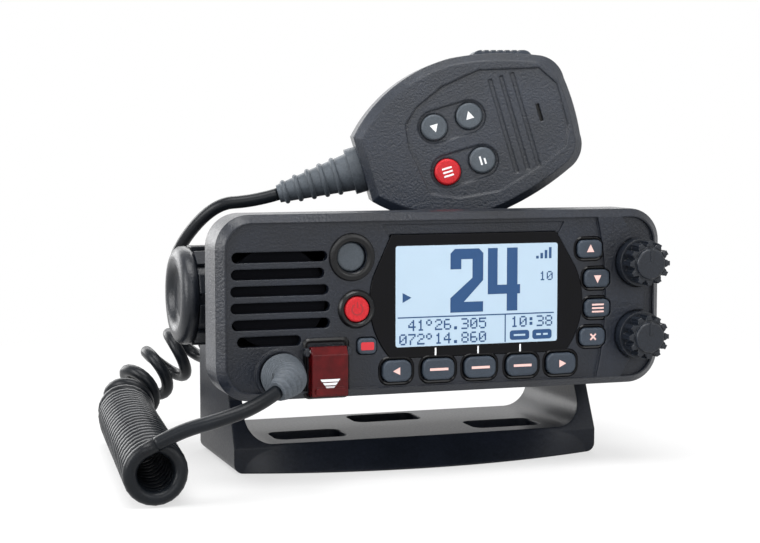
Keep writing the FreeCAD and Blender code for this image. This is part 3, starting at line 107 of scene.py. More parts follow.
def metal(name, dark, light, roughness):
    # turned metal: fine circular lines left by the tool
    made, tree = startMaterial(name)
    place = (addNode(tree, "ShaderNodeTexCoord"), "Object")
    lines = addNode(tree, "ShaderNodeTexNoise", {"Scale": 1 / toolLine, "Detail": 4.0}, {"Vector": place})
    tone = addNode(tree, "ShaderNodeMix", {"data_type": "RGBA", 6: toLinear(dark), 7: toLinear(light)},
                   {0: (lines, "Fac")})
    rough = addNode(tree, "ShaderNodeMapRange", {"To Min": roughness - 0.08, "To Max": roughness + 0.12},
                    {"Value": (lines, "Fac")})
    eased = addNode(tree, "ShaderNodeBevel", {"samples": 4, "Radius": 0.2 * mm})
    bump = addNode(tree, "ShaderNodeBump", {"Strength": 0.2, "Distance": 0.02 * mm},
                   {"Height": (lines, "Fac"), "Normal": (eased, "Normal")})
    shader = addNode(tree, "ShaderNodeBsdfPrincipled", {"Metallic": 1.0},
                     {"Base Color": (tone, 2), "Roughness": (rough, "Result"), "Normal": (bump, "Normal")})
    addNode(tree, "ShaderNodeOutputMaterial", {}, {"Surface": (shader, "BSDF")})
    return made


def printed(name, colour, roughness, glow=0.0):
    # ink or a lit panel, with a trace of unevenness; a glow given to ink is a painted glow
    made, tree = startMaterial(name)
    place = (addNode(tree, "ShaderNodeTexCoord"), "Object")
    drift = addNode(tree, "ShaderNodeTexNoise", {"Scale": 2 / driftSize, "Detail": 2.0}, {"Vector": place})
    low = tuple(c * 0.95 for c in toLinear(colour)[:3]) + (1.0,)
    tone = addNode(tree, "ShaderNodeMix", {"data_type": "RGBA", 6: low, 7: toLinear(colour)},
                   {0: (drift, "Fac")})
    shader = addNode(tree, "ShaderNodeBsdfPrincipled", {"Roughness": roughness, "Emission Strength": glow},
                     {"Base Color": (tone, 2), "Emission Color": (tone, 2)})
    addNode(tree, "ShaderNodeOutputMaterial", {}, {"Surface": (shader, "BSDF")})
    return made


finishes = {
    # glass-filled ABS from a spark-eroded mould: near black with a cool cast, a grain that catches the light
    "caseAbs": moulded("caseAbs", "#0d1119", "#151b26", roughness=0.36, grainMm=0.8, grainDepth=0.26,
                       edgeMm=0.6, specular=0.4, roughSpread=0.16),
    # bracket: the same plastic, coarser and less shiny
    "bracketAbs": moulded("bracketAbs", "#10141b", "#161a23", roughness=0.36, grainMm=0.9, grainDepth=0.1,
                          edgeMm=0.8, specular=0.2),
    # clamp knobs: the same plastic with a slightly smoother grain
    "mountKnobAbs": moulded("mountKnobAbs", "#0c1015", "#12161d", roughness=0.34, grainMm=0.7, grainDepth=0.16,
                            edgeMm=0.6, specular=0.34),
    # dials are a finer, drier moulding
    "dialAbs": moulded("dialAbs", "#10141b", "#181d25", roughness=0.3, grainMm=0.6, grainDepth=0.05,
                       edgeMm=0.45, specular=0.4),
    # microphone halves: a lighter charcoal that shows its grain in the light
    "micAbs": moulded("micAbs", "#131922", "#1b222e", roughness=0.33, grainMm=0.75, grainDepth=0.26,
                      edgeMm=0.9, specular=0.52, roughSpread=0.14),
    # clear PMMA printed black from behind: deep black with a clean gloss
    "windowPmma": moulded("windowPmma", "#010103", "#020206", roughness=0.08, grainMm=6.0, grainDepth=0.0,
                          edgeMm=0.3, specular=0.18, roughSpread=0.02),
    # backlit display glass, pale blue when lit
    "displayGlass": printed("displayGlass", "#aabfd0", roughness=0.3, glow=0.06),
    # silicone rubber keys: soft, slightly blue dark grey
    "keySilicone": moulded("keySilicone", "#2a323c", "#343d48", roughness=0.42, grainMm=0.5, grainDepth=0.03,
                           edgeMm=0.6, specular=0.35),
    # the same rubber in signal red and in mid grey
    "redSilicone": moulded("redSilicone", "#b01820", "#bf1f28", roughness=0.42, grainMm=0.5, grainDepth=0.03,
                           edgeMm=0.6, specular=0.3),
    "greySilicone": moulded("greySilicone", "#3e454c", "#4a5158", roughness=0.42, grainMm=0.5, grainDepth=0.03,
                            edgeMm=0.6, specular=0.35),
    # tinted polycarbonate cover: wine red, glossy
    "coverPc": moulded("coverPc", "#3f0407", "#55080c", roughness=0.14, grainMm=3.0, grainDepth=0.0,
                       edgeMm=0.5, specular=0.22),
    # woven cloth behind the louvres: dull black
    "speakerCloth": moulded("speakerCloth", "#06070b", "#0b0c11", roughness=0.9, grainMm=0.5, grainDepth=0.03,
                            edgeMm=0.2, specular=0.1),
    # moulded EPDM washers, seals and glands: dull, close to black
    "blackRubber": moulded("blackRubber", "#0c0d0f", "#121416", roughness=0.5, grainMm=0.6, grainDepth=0.03,
                           edgeMm=0.4, specular=0.3),
    # polyurethane cord jacket: smooth, extruded, satin black
    "cordPu": moulded("cordPu", "#0b0e12", "#11151a", roughness=0.34, grainMm=0.6, grainDepth=0.01,
                      edgeMm=0.2, specular=0.19),
    # flexible PVC boots: mid grey, matt
    "bootRubber": moulded("bootRubber", "#41474d", "#4e545b", roughness=0.5, grainMm=0.6, grainDepth=0.04,
                          edgeMm=0.3, specular=0.3),
    # talk key's thermoplastic rubber: slate grey, slightly soft sheen
    "pttRubber": moulded("pttRubber", "#2a313b", "#343c47", roughness=0.45, grainMm=0.6, grainDepth=0.04,
                         edgeMm=0.6, specular=0.35),
    # turned stainless steel and nickel-plated brass
    "stainless": metal("stainless", "#b5b6b8", "#c6c7c9", roughness=0.3),
    "nickel": metal("nickel", "#c9c9c6", "#d8d8d5", roughness=0.2),
    # glass-epoxy circuit board under green solder mask
    "boardGreen": moulded("boardGreen", "#0d3d1f", "#124a27", roughness=0.4, grainMm=1.5, grainDepth=0.01,
                          edgeMm=0.2),
    # pressed paper cone, and steel and mouldings in black lacquer
    "paperCone": moulded("paperCone", "#101012", "#17171a", roughness=0.8, grainMm=0.7, grainDepth=0.03,
                         edgeMm=0.2),
    # stoved lacquer on steel and zinc
    "blackLacquer": moulded("blackLacquer", "#050608", "#090a0d", roughness=0.3, grainMm=0.8, grainDepth=0.01,
                            edgeMm=0.3, specular=0.3),
    # pad-printed legends: pale pink on the keys with a faint painted glow, dark blue segments in the display
    "legendInkAndGlow": printed("legendInkAndGlow", "#e6bdb6", roughness=0.5, glow=0.05),
    "displayInk": printed("displayInk", "#0b3f6e", roughness=0.4),
    # moulded-in sign on the power key, label under the alert key's rubber, white pad printing
    "darkRedInk": printed("darkRedInk", "#8e1319", roughness=0.5),
    "alertInk": printed("alertInk", "#c0202c", roughness=0.45),
    "whiteInk": printed("whiteInk", "#eceef0", roughness=0.5),
}

nodeFinish = {
    "caseAbs": ["front_case", "rear_chassis"],
    "bracketAbs": ["bracket"],
    "mountKnobAbs": ["left_mount_knob", "right_mount_knob"],
    "dialAbs": ["volume_knob", "squelch_knob"],
    "micAbs": ["mic_front_case", "mic_rear_case"],
    "windowPmma": ["window_lens"],
    "displayGlass": ["lcd_panel"],
    "keySilicone": ["left_key", "soft_key_1", "soft_key_2", "soft_key_3", "right_key", "up_key", "down_key",
                    "menu_key", "clear_key", "alert_key"],
    "redSilicone": ["power_key", "alert_button", "mic_red_key"],
    "greySilicone": ["upper_round_key", "mic_down_key", "mic_up_key", "mic_grey_key", "key_mat"],
    "coverPc": ["alert_cover"],
    "blackRubber": ["mount_washers", "case_gasket", "knob_seals", "cable_glands"],
    "speakerCloth": ["grille_membrane"],
    "bootRubber": ["cord_boot", "mic_boot"],
    "pttRubber": ["mic_ptt"],
    "stainless": ["left_mount_stud", "right_mount_stud", "case_screws", "cover_pin", "volume_shaft",
                  "squelch_shaft", "mic_hang_button", "mic_screws"],
    "nickel": ["antenna_socket"],
    "boardGreen": ["front_board", "main_board", "mic_board"],
    "paperCone": ["speaker_cone"],
    "blackLacquer": ["speaker_frame", "knob_encoders", "mic_element"],
    "cordPu": ["cord_lead", "cord_coil", "cord_tail"],
}
for finishName, names in nodeFinish.items():
    for nodeName in names:
        mesh = nodes[nodeName].data
        mesh.materials.clear()
        mesh.materials.append(finishes[finishName])
print("stage: finishes on", sum(len(v) for v in nodeFinish.values()), "nodes")

# Camera at the photograph's place
cameraPlace = {"place": (-0.19796, -0.56939, 0.11250), "azimuth": 18.63, "elevation": 4.8, "lens": 83.38}
cameraData = bpy.data.cameras.new("camera")
cameraData.lens = cameraPlace["lens"]
cameraData.sensor_width = 36
camera = bpy.data.objects.new("camera", cameraData)
camera.location = cameraPlace["place"]
tip = math.radians(90 - cameraPlace["elevation"])
camera.rotation_euler = Euler((tip, 0, -math.radians(cameraPlace["azimuth"])))
scene.collection.objects.link(camera)
scene.camera = camera
scene.view_settings.view_transform = "Standard"

# Soft studio light
lamps = {
    "overhead": {"place": (-0.15, -0.3, 0.95), "aim": (0, 0, 0.06), "size": (0.7, 0.5), "power": 8.5},
    "leftWall": {"place": (-1.0, -0.2, 0.35), "aim": (0, 0, 0.07), "size": (0.5, 0.6), "power": 8.0},
    "leftBack": {"place": (-0.6, 0.95, 0.35), "aim": (0, 0, 0.07), "size": (0.7, 0.6), "power": 7.0},
    "frontFill": {"place": (0.5, -1.0, 0.5), "aim": (0, 0, 0.07), "size": (0.5, 0.5), "power": 2.5},
    "frontSheen": {"place": (-0.35, -1.3, 0.5), "aim": (0, 0, 0.07), "size": (0.9, 0.5), "power": 4.5},
    "backTop": {"place": (0.2, 0.9, 0.75), "aim": (0, 0, 0.1), "size": (1.2, 0.4), "power": 7.0},
}
for name, lamp in lamps.items():
    data = bpy.data.lights.new(name, "AREA")
    data.shape = "RECTANGLE"
    data.size, data.size_y = lamp["size"]
    data.energy = lamp["power"]
    light = bpy.data.objects.new(name, data)
    light.location = lamp["place"]
    light.visible_camera = False
    aim = Vector(lamp["aim"]) - Vector(lamp["place"])
    light.rotation_euler = aim.to_track_quat("-Z", "Y").to_euler()
    scene.collection.objects.link(light)


def shownWhite(tree):
    # 1 for the rays that look at the backdrop: the camera's, and those off gloss or through glass
    rays = addNode(tree, "ShaderNodeLightPath")
    mirrored = addNode(tree, "ShaderNodeMath", {"operation": "MAXIMUM"},
                       {0: (rays, "Is Glossy Ray"), 1: (rays, "Is Transmission Ray")})
    return addNode(tree, "ShaderNodeMath", {"operation": "MAXIMUM"},
                   {0: (rays, "Is Camera Ray"), 1: (mirrored, "Value")})


backdrop = {"light": 0.32, "floor": (0.82, 0.82, 0.82, 1), "near": 0.1, "far": 0.35, "nearShare": 0.62,
            "radius": 4.0, "drop": 0.0002}
world = bpy.data.worlds.new("studio")
scene.world = world
world.use_nodes = True
world.node_tree.nodes.clear()
tree = world.node_tree
plain = addNode(tree, "ShaderNodeBackground", {"Color": (1, 1, 1, 1), "Strength": backdrop["light"]})
white = addNode(tree, "ShaderNodeBackground", {"Color": (1, 1, 1, 1), "Strength": 1.0})
seen = addNode(tree, "ShaderNodeMixShader", {},
               {"Fac": (shownWhite(tree), "Value"), 1: (plain, 0), 2: (white, 0)})
addNode(tree, "ShaderNodeOutputWorld", {}, {"Surface": (seen, "Shader")})

# The floor takes the shadow near the object and turns to plain white further off
floorMaterial, tree = startMaterial("paleFloor")
paper = addNode(tree, "ShaderNodeBsdfDiffuse", {"Color": backdrop["floor"]})
white = addNode(tree, "ShaderNodeEmission", {"Color": (1, 1, 1, 1), "Strength": 1.0})
spot = addNode(tree, "ShaderNodeTexCoord")
away = addNode(tree, "ShaderNodeVectorMath", {"operation": "LENGTH"}, {0: (spot, "Object")})
fade = addNode(tree, "ShaderNodeMapRange",
               {"From Min": backdrop["near"], "From Max": backdrop["far"], "To Min": backdrop["nearShare"]},
               {"Value": (away, "Value")})
share = addNode(tree, "ShaderNodeMath", {"operation": "MULTIPLY"},
                {0: (shownWhite(tree), "Value"), 1: (fade, "Result")})
seen = addNode(tree, "ShaderNodeMixShader", {}, {"Fac": (share, "Value"), 1: (paper, 0), 2: (white, 0)})
addNode(tree, "ShaderNodeOutputMaterial", {}, {"Surface": (seen, "Shader")})
bpy.ops.mesh.primitive_circle_add(vertices=96, radius=backdrop["radius"], fill_type="NGON",
                                  location=(0, 0, -backdrop["drop"]))
floor = bpy.context.object
floor.name = "floor"
floor.data.materials.append(floorMaterial)
print("stage: camera, lamps and floor")


def link(name, mesh, finish):
    made = bpy.data.objects.new(name, mesh)
    mesh.materials.clear()
    mesh.materials.append(finishes[finish])
    scene.collection.objects.link(made)
    return made


def readLine(points, steps=6):
    # a smooth NURBS line through the route's control points, read back as points
    data = bpy.data.curves.new("line", "CURVE")
    data.dimensions = "3D"
    data.resolution_u = steps
    spline = data.splines.new("NURBS")
    spline.points.add(len(points) - 1)
    for spot, point in zip(spline.points, points):
        spot.co = (*point, 1)
    spline.order_u = 3
    spline.use_endpoint_u = True
    obj = bpy.data.objects.new("line", data)
    scene.collection.objects.link(obj)
    bpy.context.view_layer.update()
    graph = bpy.context.evaluated_depsgraph_get()
    mesh = bpy.data.meshes.new_from_object(obj.evaluated_get(graph))
    found = [v.co.copy() for v in mesh.vertices]
    bpy.data.objects.remove(obj)
    return found


def carriedFrames(points):
    # a side and an up vector at every point that don't twist along the line
    frames = []
    side = None
    for i, point in enumerate(points):
        along = (points[min(i + 1, len(points) - 1)] - points[max(i - 1, 0)]).normalized()
        if side is None:
            side = Vector((0, 0, 1)) if abs(along.z) < 0.9 else Vector((1, 0, 0))
        side = (side - along * side.dot(along)).normalized()
        frames.append((along, side, along.cross(side)))
    return frames


def tube(name, points, radii, finish, sides=18):
    # closed round tube along points, one radius a point
    mesh = bmesh.new()
    frames = carriedFrames(points)
    rings = []
    for point, (along, side, other), radius in zip(points, frames, radii):
        ring = []
        for k in range(sides):
            angle = 2 * math.pi * k / sides
            ring.append(mesh.verts.new(
                point + side * (radius * math.cos(angle)) + other * (radius * math.sin(angle))))
        rings.append(ring)
    for first, second in zip(rings, rings[1:]):
        for k in range(sides):
            face = mesh.faces.new((first[k], first[(k + 1) % sides], second[(k + 1) % sides], second[k]))
            face.smooth = True
    mesh.faces.new(tuple(reversed(rings[0])))
    mesh.faces.new(tuple(rings[-1]))
    bmesh.ops.recalc_face_normals(mesh, faces=mesh.faces)
    data = bpy.data.meshes.new(name)
    mesh.to_mesh(data)
    mesh.free()
    return link(name, data, finish)


def lineLength(points):
    return sum((b - a).length for a, b in zip(points, points[1:]))


# Curly cord: a lead from the front boot, the coil on the floor, its rise behind the left knob, and a tail
cordFacts = {
    "wireRadius": 2.2, "coilRadius": 7.7, "spineLength": 179.8,
    "firstTurn": 0.08, "splitTurn": 25.25, "lastTurn": 27.75, "tightTurns": 21,
    "tightPitch": 4.95, "loosePitch": 10.5, "straightEnd": 4.4,
    "leadLength": 0.0410, "coilLength": 1.3586, "tailLength": 0.0893,
    "coilTurnsOver": ((-0.086, 0.050, 0.010), (-0.060, 0.068, 0.030)), "riseLeaves": (-0.056, 0.066, 0.034),
    "lead": [(-60.649, -65.794, 32.666), (-67.713, -70.294, 29.372), (-80.0, -71.2, 25.8),
             (-90.518, -67.556, 22.790), (-97.379, -66.064, 18.956)],
    "spine": [(-97.5, -66, 10.1), (-91.7, -8, 10.1), (-86, 50, 10.1), (-80, 61.5, 14.5), (-70.8, 67, 21.5),
              (-60.5, 68, 29), (-50, 68, 37), (-42, 66, 45)],
    "tail": [(-47.056, 58.522, 38.664), (-51.227, 53.222, 44.622), (-61.3, 51.1, 52.7), (-70.9, 41.4, 64.3),
             (-58.8, 25.5, 84.9), (-44.703, 20.867, 85.831), (-36.843, 18.761, 88.288)],
}


def spineDistance(facts, turn):
    # millimetres along the spine after so many turns: one pitch, a ramp one turn long, then the looser pitch
    low, high, past = facts["tightPitch"], facts["loosePitch"], turn - facts["tightTurns"]
    if past <= 0:
        return turn * low
    ramp = min(past, 1.0)
    return (facts["tightTurns"] + ramp) * low + (high - low) * ramp * ramp / 2 + high * max(past - 1, 0)


def helix(facts, spine, first, last, perTurn=24):
    # the curls between two turn counts, carried along the spine without twist
    frames = carriedFrames(spine)
    reach = [0.0]
    for a, b in zip(spine, spine[1:]):
        reach.append(reach[-1] + (b - a).length)
    stretch = reach[-1] / facts["spineLength"]
    found = []
    steps = round((last - first) * perTurn)
    spot = 0
    for k in range(steps + 1):
        turn = first + (last - first) * k / steps
        s = spineDistance(facts, turn) * stretch
        while spot < len(reach) - 2 and reach[spot + 1] < s:
            spot += 1
        part = (s - reach[spot]) / (reach[spot + 1] - reach[spot])
        centre = spine[spot].lerp(spine[spot + 1], part)
        side = frames[spot][1].lerp(frames[spot + 1][1], part).normalized()
        other = frames[spot][2].lerp(frames[spot + 1][2], part).normalized()
        angle = 2 * math.pi * turn
        found.append(centre + (side * math.cos(angle) - other * math.sin(angle)) * facts["coilRadius"] * mm)
    return found


def metres(points):
    return [Vector(p) * mm for p in points]


def cordPiece(name, points, node, ends, start, end, length, lay):
    radius = cordFacts["wireRadius"] * mm
    made = tube(name, points, [radius] * len(points), "cordPu", 16)
    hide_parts(node)
    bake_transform(made)
    return made


leadLine = readLine(metres(cordFacts["lead"]), 12)
tailLine = readLine(metres(cordFacts["tail"]), 12)
spineLine = readLine(metres(cordFacts["spine"]), 24)
if (leadLine[0] - Vector(cordFacts["lead"][0]) * mm).length > 1e-4:
    leadLine.reverse()
lower = [leadLine[-1]] + helix(cordFacts, spineLine, cordFacts["firstTurn"], cordFacts["splitTurn"])
upper = helix(cordFacts, spineLine, cordFacts["splitTurn"], cordFacts["lastTurn"])
tangent = (tailLine[1] - tailLine[0]).normalized()
miss = tailLine[0] - tangent * cordFacts["straightEnd"] * mm - upper[-1]
for k, point in enumerate(upper):
    share = k / (len(upper) - 1)
    upper[k] = point + miss * share * share * (3 - 2 * share)
rise = upper + tailLine

# Front boot
bootFacts = {"centre": (-55.0, 35.3), "collar": 6.7, "tip": 3.1, "face": -50.8, "straightTo": -55.5,
             "bendTo": -62.3, "taper": 1.25, "rings": 13, "ringDepth": 0.42, "plainStart": 0.06, "plainEnd": 0.97}


def ringedBoot(facts):
    # straight out of the case, round to the cord's first direction, narrowing ring by ring
    x, z = facts["centre"]
    out = [(x, facts["face"], z), (x, facts["straightTo"], z), (x, facts["bendTo"], z), cordFacts["lead"][0]]
    line = readLine(metres(out), 60)
    if (line[0] - Vector(out[0]) * mm).length > 1e-4:
        line.reverse()
    total = len(line) - 1
    radii = []
    for k in range(total + 1):
        share = k / total
        swell = facts["collar"] + (facts["tip"] - facts["collar"]) * share ** facts["taper"]
        wave = math.cos(2 * math.pi * share * facts["rings"])
        ringed = facts["plainStart"] < share < facts["plainEnd"]
        radii.append((swell + (facts["ringDepth"] * wave if ringed else 0)) * mm)
    return tube("frontBoot", line, radii, "bootRubber", 40)


boot = ringedBoot(bootFacts)
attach(boot, "radio")
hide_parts("cord_boot")
allTurns = cordFacts["lastTurn"] - cordFacts["firstTurn"]
lowerShare = (cordFacts["splitTurn"] - cordFacts["firstTurn"]) / allTurns
cordPiece("cordLead", leadLine, "cord_lead", ("radio", "bracket"), tuple(leadLine[0]), tuple(leadLine[-1]),
          cordFacts["leadLength"], "loose")
cordPiece("cordCoil", lower, "cord_coil", ("bracket", "radio"), *cordFacts["coilTurnsOver"],
          cordFacts["coilLength"] * lowerShare, "coiled")
cordPiece("cordRise", rise, "cord_tail", ("radio", "mic"), cordFacts["riseLeaves"], tuple(tailLine[-1]),
          cordFacts["coilLength"] * (1 - lowerShare) + cordFacts["tailLength"], "loose")
print("stage: cord", round(lineLength(leadLine), 4), round(lineLength(lower), 4), round(lineLength(rise), 4))


def ridingPiece(name, mesh, finish, body, frameAt=None, smooth=False):
    # a built mesh as an object that rides on one body
    if frameAt is not None:
        mesh.transform(frameAt)
    bmesh.ops.recalc_face_normals(mesh, faces=mesh.faces)
    data = bpy.data.meshes.new(name)
    mesh.to_mesh(data)
    mesh.free()
    if smooth:
        data.set_sharp_from_angle(angle=math.radians(40))
    made = link(name, data, finish)
    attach(made, body)
    return made


def solid(name, shapes, front, depth, finish, body, frameAt=None):
    # thin prisms, each an outline of (x, z) in millimetres, from its front plane backwards
    mesh = bmesh.new()
    for shape in shapes:
        near = [mesh.verts.new((x * mm, front * mm, z * mm)) for x, z in shape]
        far = [mesh.verts.new((x * mm, (front + depth) * mm, z * mm)) for x, z in shape]
        mesh.faces.new(near)
        mesh.faces.new(tuple(reversed(far)))
        for k in range(len(shape)):
            j = (k + 1) % len(shape)
            mesh.faces.new((near[k], far[k], far[j], near[j]))
    return ridingPiece(name, mesh, finish, body, frameAt)


def ringSolid(name, rings, front, depth, finish, body, frameAt=None, smooth=False):
    # closed rings, each a list of (outline, share of the depth), joined round in the order given
    mesh = bmesh.new()
    for loops in rings:
        made = []
        for points, share in loops:
            made.append([mesh.verts.new((x * mm, (front + depth * share) * mm, z * mm)) for x, z in points])
        count = len(made[0])
        for a, b in zip(made, made[1:] + made[:1]):
            for k in range(count):
                j = (k + 1) % count
                face = mesh.faces.new((a[k], a[j], b[j], b[k]))
                face.smooth = smooth
    return ridingPiece(name, mesh, finish, body, frameAt, smooth)


def roundedBox(x, z, width, height, radius, steps=5):
    points = []
    for cx, cz, start in ((1, 1, 0), (-1, 1, 90), (-1, -1, 180), (1, -1, 270)):
        for k in range(steps + 1):
            angle = math.radians(start + 90 * k / steps)
            points.append((x + cx * (width / 2 - radius) + radius * math.cos(angle),
                           z + cz * (height / 2 - radius) + radius * math.sin(angle)))
    return points


def disc(x, z, radius, steps=32):
    return [(x + radius * math.cos(2 * math.pi * k / steps), z + radius * math.sin(2 * math.pi * k / steps))
            for k in range(steps)]


def bar(x, z, width, height):
    return [(x - width / 2, z - height / 2), (x + width / 2, z - height / 2), (x + width / 2, z + height / 2),
            (x - width / 2, z + height / 2)]


def arrow(x, z, size, towards):
    # a solid triangle that points at an angle in degrees
    corners = []
    for turn in (0, 125, 235):
        angle = math.radians(towards + turn)
        corners.append((x + size * math.cos(angle), z + size * math.sin(angle)))
    return corners


def cross(x, z, reach, thick):
    # a slanting cross as one outline
    points = []
    half = thick / 2
    for quarter in range(4):
        base = math.radians(45 + 90 * quarter)
        along = (math.cos(base), math.sin(base))
        side = (-along[1], along[0])
        points += [(x + along[0] * reach - side[0] * half, z + along[1] * reach - side[1] * half),
                   (x + along[0] * reach + side[0] * half, z + along[1] * reach + side[1] * half),
                   (x + (along[0] + side[0]) * half, z + (along[1] + side[1]) * half)]
    return points


# Keys: name: (x, z from the tilt axis, width, height, marks round the key's middle)
keyFacts = {
    "left_key": (-17.05, -21.2, 9.6, 6.8, [arrow(0, 0, 1.5, 180)]),
    "soft_key_1": (-3.05, -21.2, 10.7, 6.8, [bar(0, 0, 6.2, 0.8)]),
    "soft_key_2": (11.15, -21.2, 10.7, 6.8, [bar(0, 0, 6.2, 0.8)]),
    "soft_key_3": (25.7, -21.2, 10.7, 6.8, [bar(0, 0, 6.2, 0.8)]),
    "right_key": (39.5, -21.2, 10.2, 6.8, [arrow(0, 0, 1.5, 0)]),
    "up_key": (49.4, 15.9, 8.6, 5.8, [arrow(0, -0.1, 1.6, 90)]),
    "down_key": (52.0, 6.2, 8.8, 5.8, [arrow(0, 0.1, 1.6, 270)]),
    "menu_key": (52.2, -3.5, 8.8, 5.8, [bar(0, z, 4.2, 0.55) for z in (1.15, 0, -1.15)]),
    "clear_key": (50.6, -12.9, 8.8, 5.8, [cross(0, 0, 1.35, 0.55)]),
}
trim = {"keyFront": -50.1, "faceFront": -48.8, "markDepth": 0.12, "markProud": 0.06, "keyCorner": 2.2,
        "ringWidth": 1.0, "ringGap": 0.25, "ringCrest": 0.6, "ringProud": 0.35, "ringDepth": 0.6}
# key legends: pale pink ink with a faint painted glow
for name, (x, z, width, height, marks) in keyFacts.items():
    placed = [[(px + x, pz + z + up) for px, pz in shape] for shape in marks]
    solid(name + "_mark", placed, trim["keyFront"] - trim["markProud"], trim["markDepth"], "legendInkAndGlow",
          name + "_part")


def grownBox(x, z, width, height, radius, grow):
    return roundedBox(x, z, width + 2 * grow, height + 2 * grow, radius + grow)


# near-black raised rings round the keys: partly a real raised frame, partly painted shade standing for the
# shadowed gap between key and case
rings = []
gap, wide = trim["ringGap"], trim["ringWidth"]
for name, (x, z, width, height, marks) in keyFacts.items():
    key = (x, z + up, width, height, trim["keyCorner"])
    inner = grownBox(*key, gap)
    outer = grownBox(*key, gap + wide)
    crest = grownBox(*key, gap + wide * trim["ringCrest"])
    rings.append([(inner, 1.0), (inner, 0.25), (crest, 0.0), (outer, 0.6), (outer, 1.0)])
ringSolid("keySurroundsAndGapShade", rings, trim["faceFront"] - trim["ringProud"], trim["ringDepth"], "windowPmma", "radio")
print("stage: keys")

# Power key sign, alert key label and the round keys' collars
power = {"x": -30.2, "z": up - 1.2, "front": -49.75, "ring": 1.75, "stroke": 0.42, "barUp": 1.3, "barLong": 1.9}
alert = {"x": -26.9, "z": up - 12.9, "width": 4.3, "height": 2.5, "corner": 0.5, "front": -49.85}
# round keys: x, z, inner and outer radius of the collar
collarFacts = {"keys": [(-31.7, up + 15.1, 5.0, 7.6), (-30.2, up - 1.2, 4.3, 6.2)], "front": -50.0, "depth": 1.3,
               "innerEase": 0.5, "outerEase": 0.4}


def arcBand(x, z, radius, stroke, start, end, steps=20):
    outer = []
    inner = []
    for k in range(steps + 1):
        angle = math.radians(start + (end - start) * k / steps)
        for side, points in ((1, outer), (-1, inner)):
            reach = radius + side * stroke / 2
            points.append((x + reach * math.cos(angle), z + reach * math.sin(angle)))
    return outer + inner[::-1]


solid("power_mark", [arcBand(power["x"], power["z"], power["ring"], power["stroke"], 120, 420),
                     bar(power["x"], power["z"] + power["barUp"], power["stroke"], power["barLong"])],
      power["front"], 0.1, "darkRedInk", "power_key_part")
solid("alert_mark", [roundedBox(alert["x"], alert["z"], alert["width"], alert["height"], alert["corner"])],
      alert["front"], 0.1, "alertInk", "alert_key_part")
collars = []
for x, z, inner, outer in collarFacts["keys"]:
    steps = [(inner, 1.0), (inner, 0.45), (inner + collarFacts["innerEase"], 0.1), ((inner + outer) / 2, 0.0),
             (outer - collarFacts["outerEase"], 0.3), (outer, 1.0)]
    collars.append([(disc(x, z, radius, 48), share) for radius, share in steps])
ringSolid("roundKeyCollars", collars, collarFacts["front"], collarFacts["depth"], "blackLacquer", "radio",
          smooth=True)

# Display: the lit glass with made-up numbers, and three ticks on the window under it
pixelDigits = {
    "0": "01110 10001 10011 10101 11001 10001 01110", "1": "00100 01100 00100 00100 00100 00100 01110",
    "2": "01110 10001 00001 00110 01000 10000 11111", "3": "11110 00001 00001 01110 00001 00001 11110",
    "4": "00010 00110 01010 10010 11111 00010 00010", "5": "11111 10000 11110 00001 00001 10001 01110",
    "6": "01110 10000 10000 11110 10001 10001 01110", "7": "11111 00001 00010 00100 01000 01000 01000",
    "8": "01110 10001 10001 01110 10001 10001 01110", "9": "01110 10001 10001 01111 00001 00001 01110",
    ":": "00000 01100 01100 00000 01100 01100 00000", ".": "00000 00000 00000 00000 00000 01100 01100",
    "'": "01100 10010 10010 01100 00000 00000 00000",
}
display = {"left": -17.35, "top": up + 18.2, "width": 55.5, "height": 32.0, "front": -49.04, "inkProud": 0.03,
           "pixel": 0.5, "bigStroke": 3.7, "bigHeight": 20.3, "bigWidth": 11.2}


def dots(text, x, top, pixel):
    # one digit at a time, with the dots that touch along a row joined in one bar
    made = []
    for place, sign in enumerate(text):
        for row, line in enumerate(pixelDigits[sign].split()):
            start = None
            for column, dot in enumerate(line + "0"):
                if dot == "1" and start is None:
                    start = column
                if dot == "0" and start is not None:
                    wide = (column - start) * pixel
                    left = x + (place * 6 + start) * pixel
                    made.append(bar(left + wide / 2, top - (row + 0.5) * pixel, wide, pixel))
                    start = None
    return made


def bigTwo(x, base, width, height, stroke):
    ease = stroke * 0.4
    bend = stroke * 0.9
    hook, waist = height * 0.68, stroke * 1.25
    shape = [(0, 0), (width, 0), (width, bend), (waist, bend), (width, height * 0.5), (width, height - ease),
             (width - ease, height), (ease, height), (0, height - ease), (0, hook), (stroke, hook),
             (stroke, height - bend), (width - stroke, height - bend), (width - stroke, height * 0.54),
             (0, waist)]
    return [(px + x, pz + base) for px, pz in shape]


def bigFour(x, base, width, height, stroke):
    low, high, edge = height * 0.27, height * 0.27 + stroke * 0.8, width - stroke * 0.25
    back, arm = edge - stroke, stroke * 0.9
    shape = [(0, low), (back, low), (back, 0), (edge, 0), (edge, low), (width, low), (width, high),
             (edge, high), (edge, height), (back, height), (back, high), (arm, high), (arm, height), (0, height)]
    return [(px + x, pz + base) for px, pz in shape]


left, top, pixel = display["left"], display["top"], display["pixel"]
solid("display_face", [roundedBox(left + display["width"] / 2, top - display["height"] / 2, display["width"],
                                  display["height"], 0.8)], display["front"], 0.1, "displayGlass", "radio")
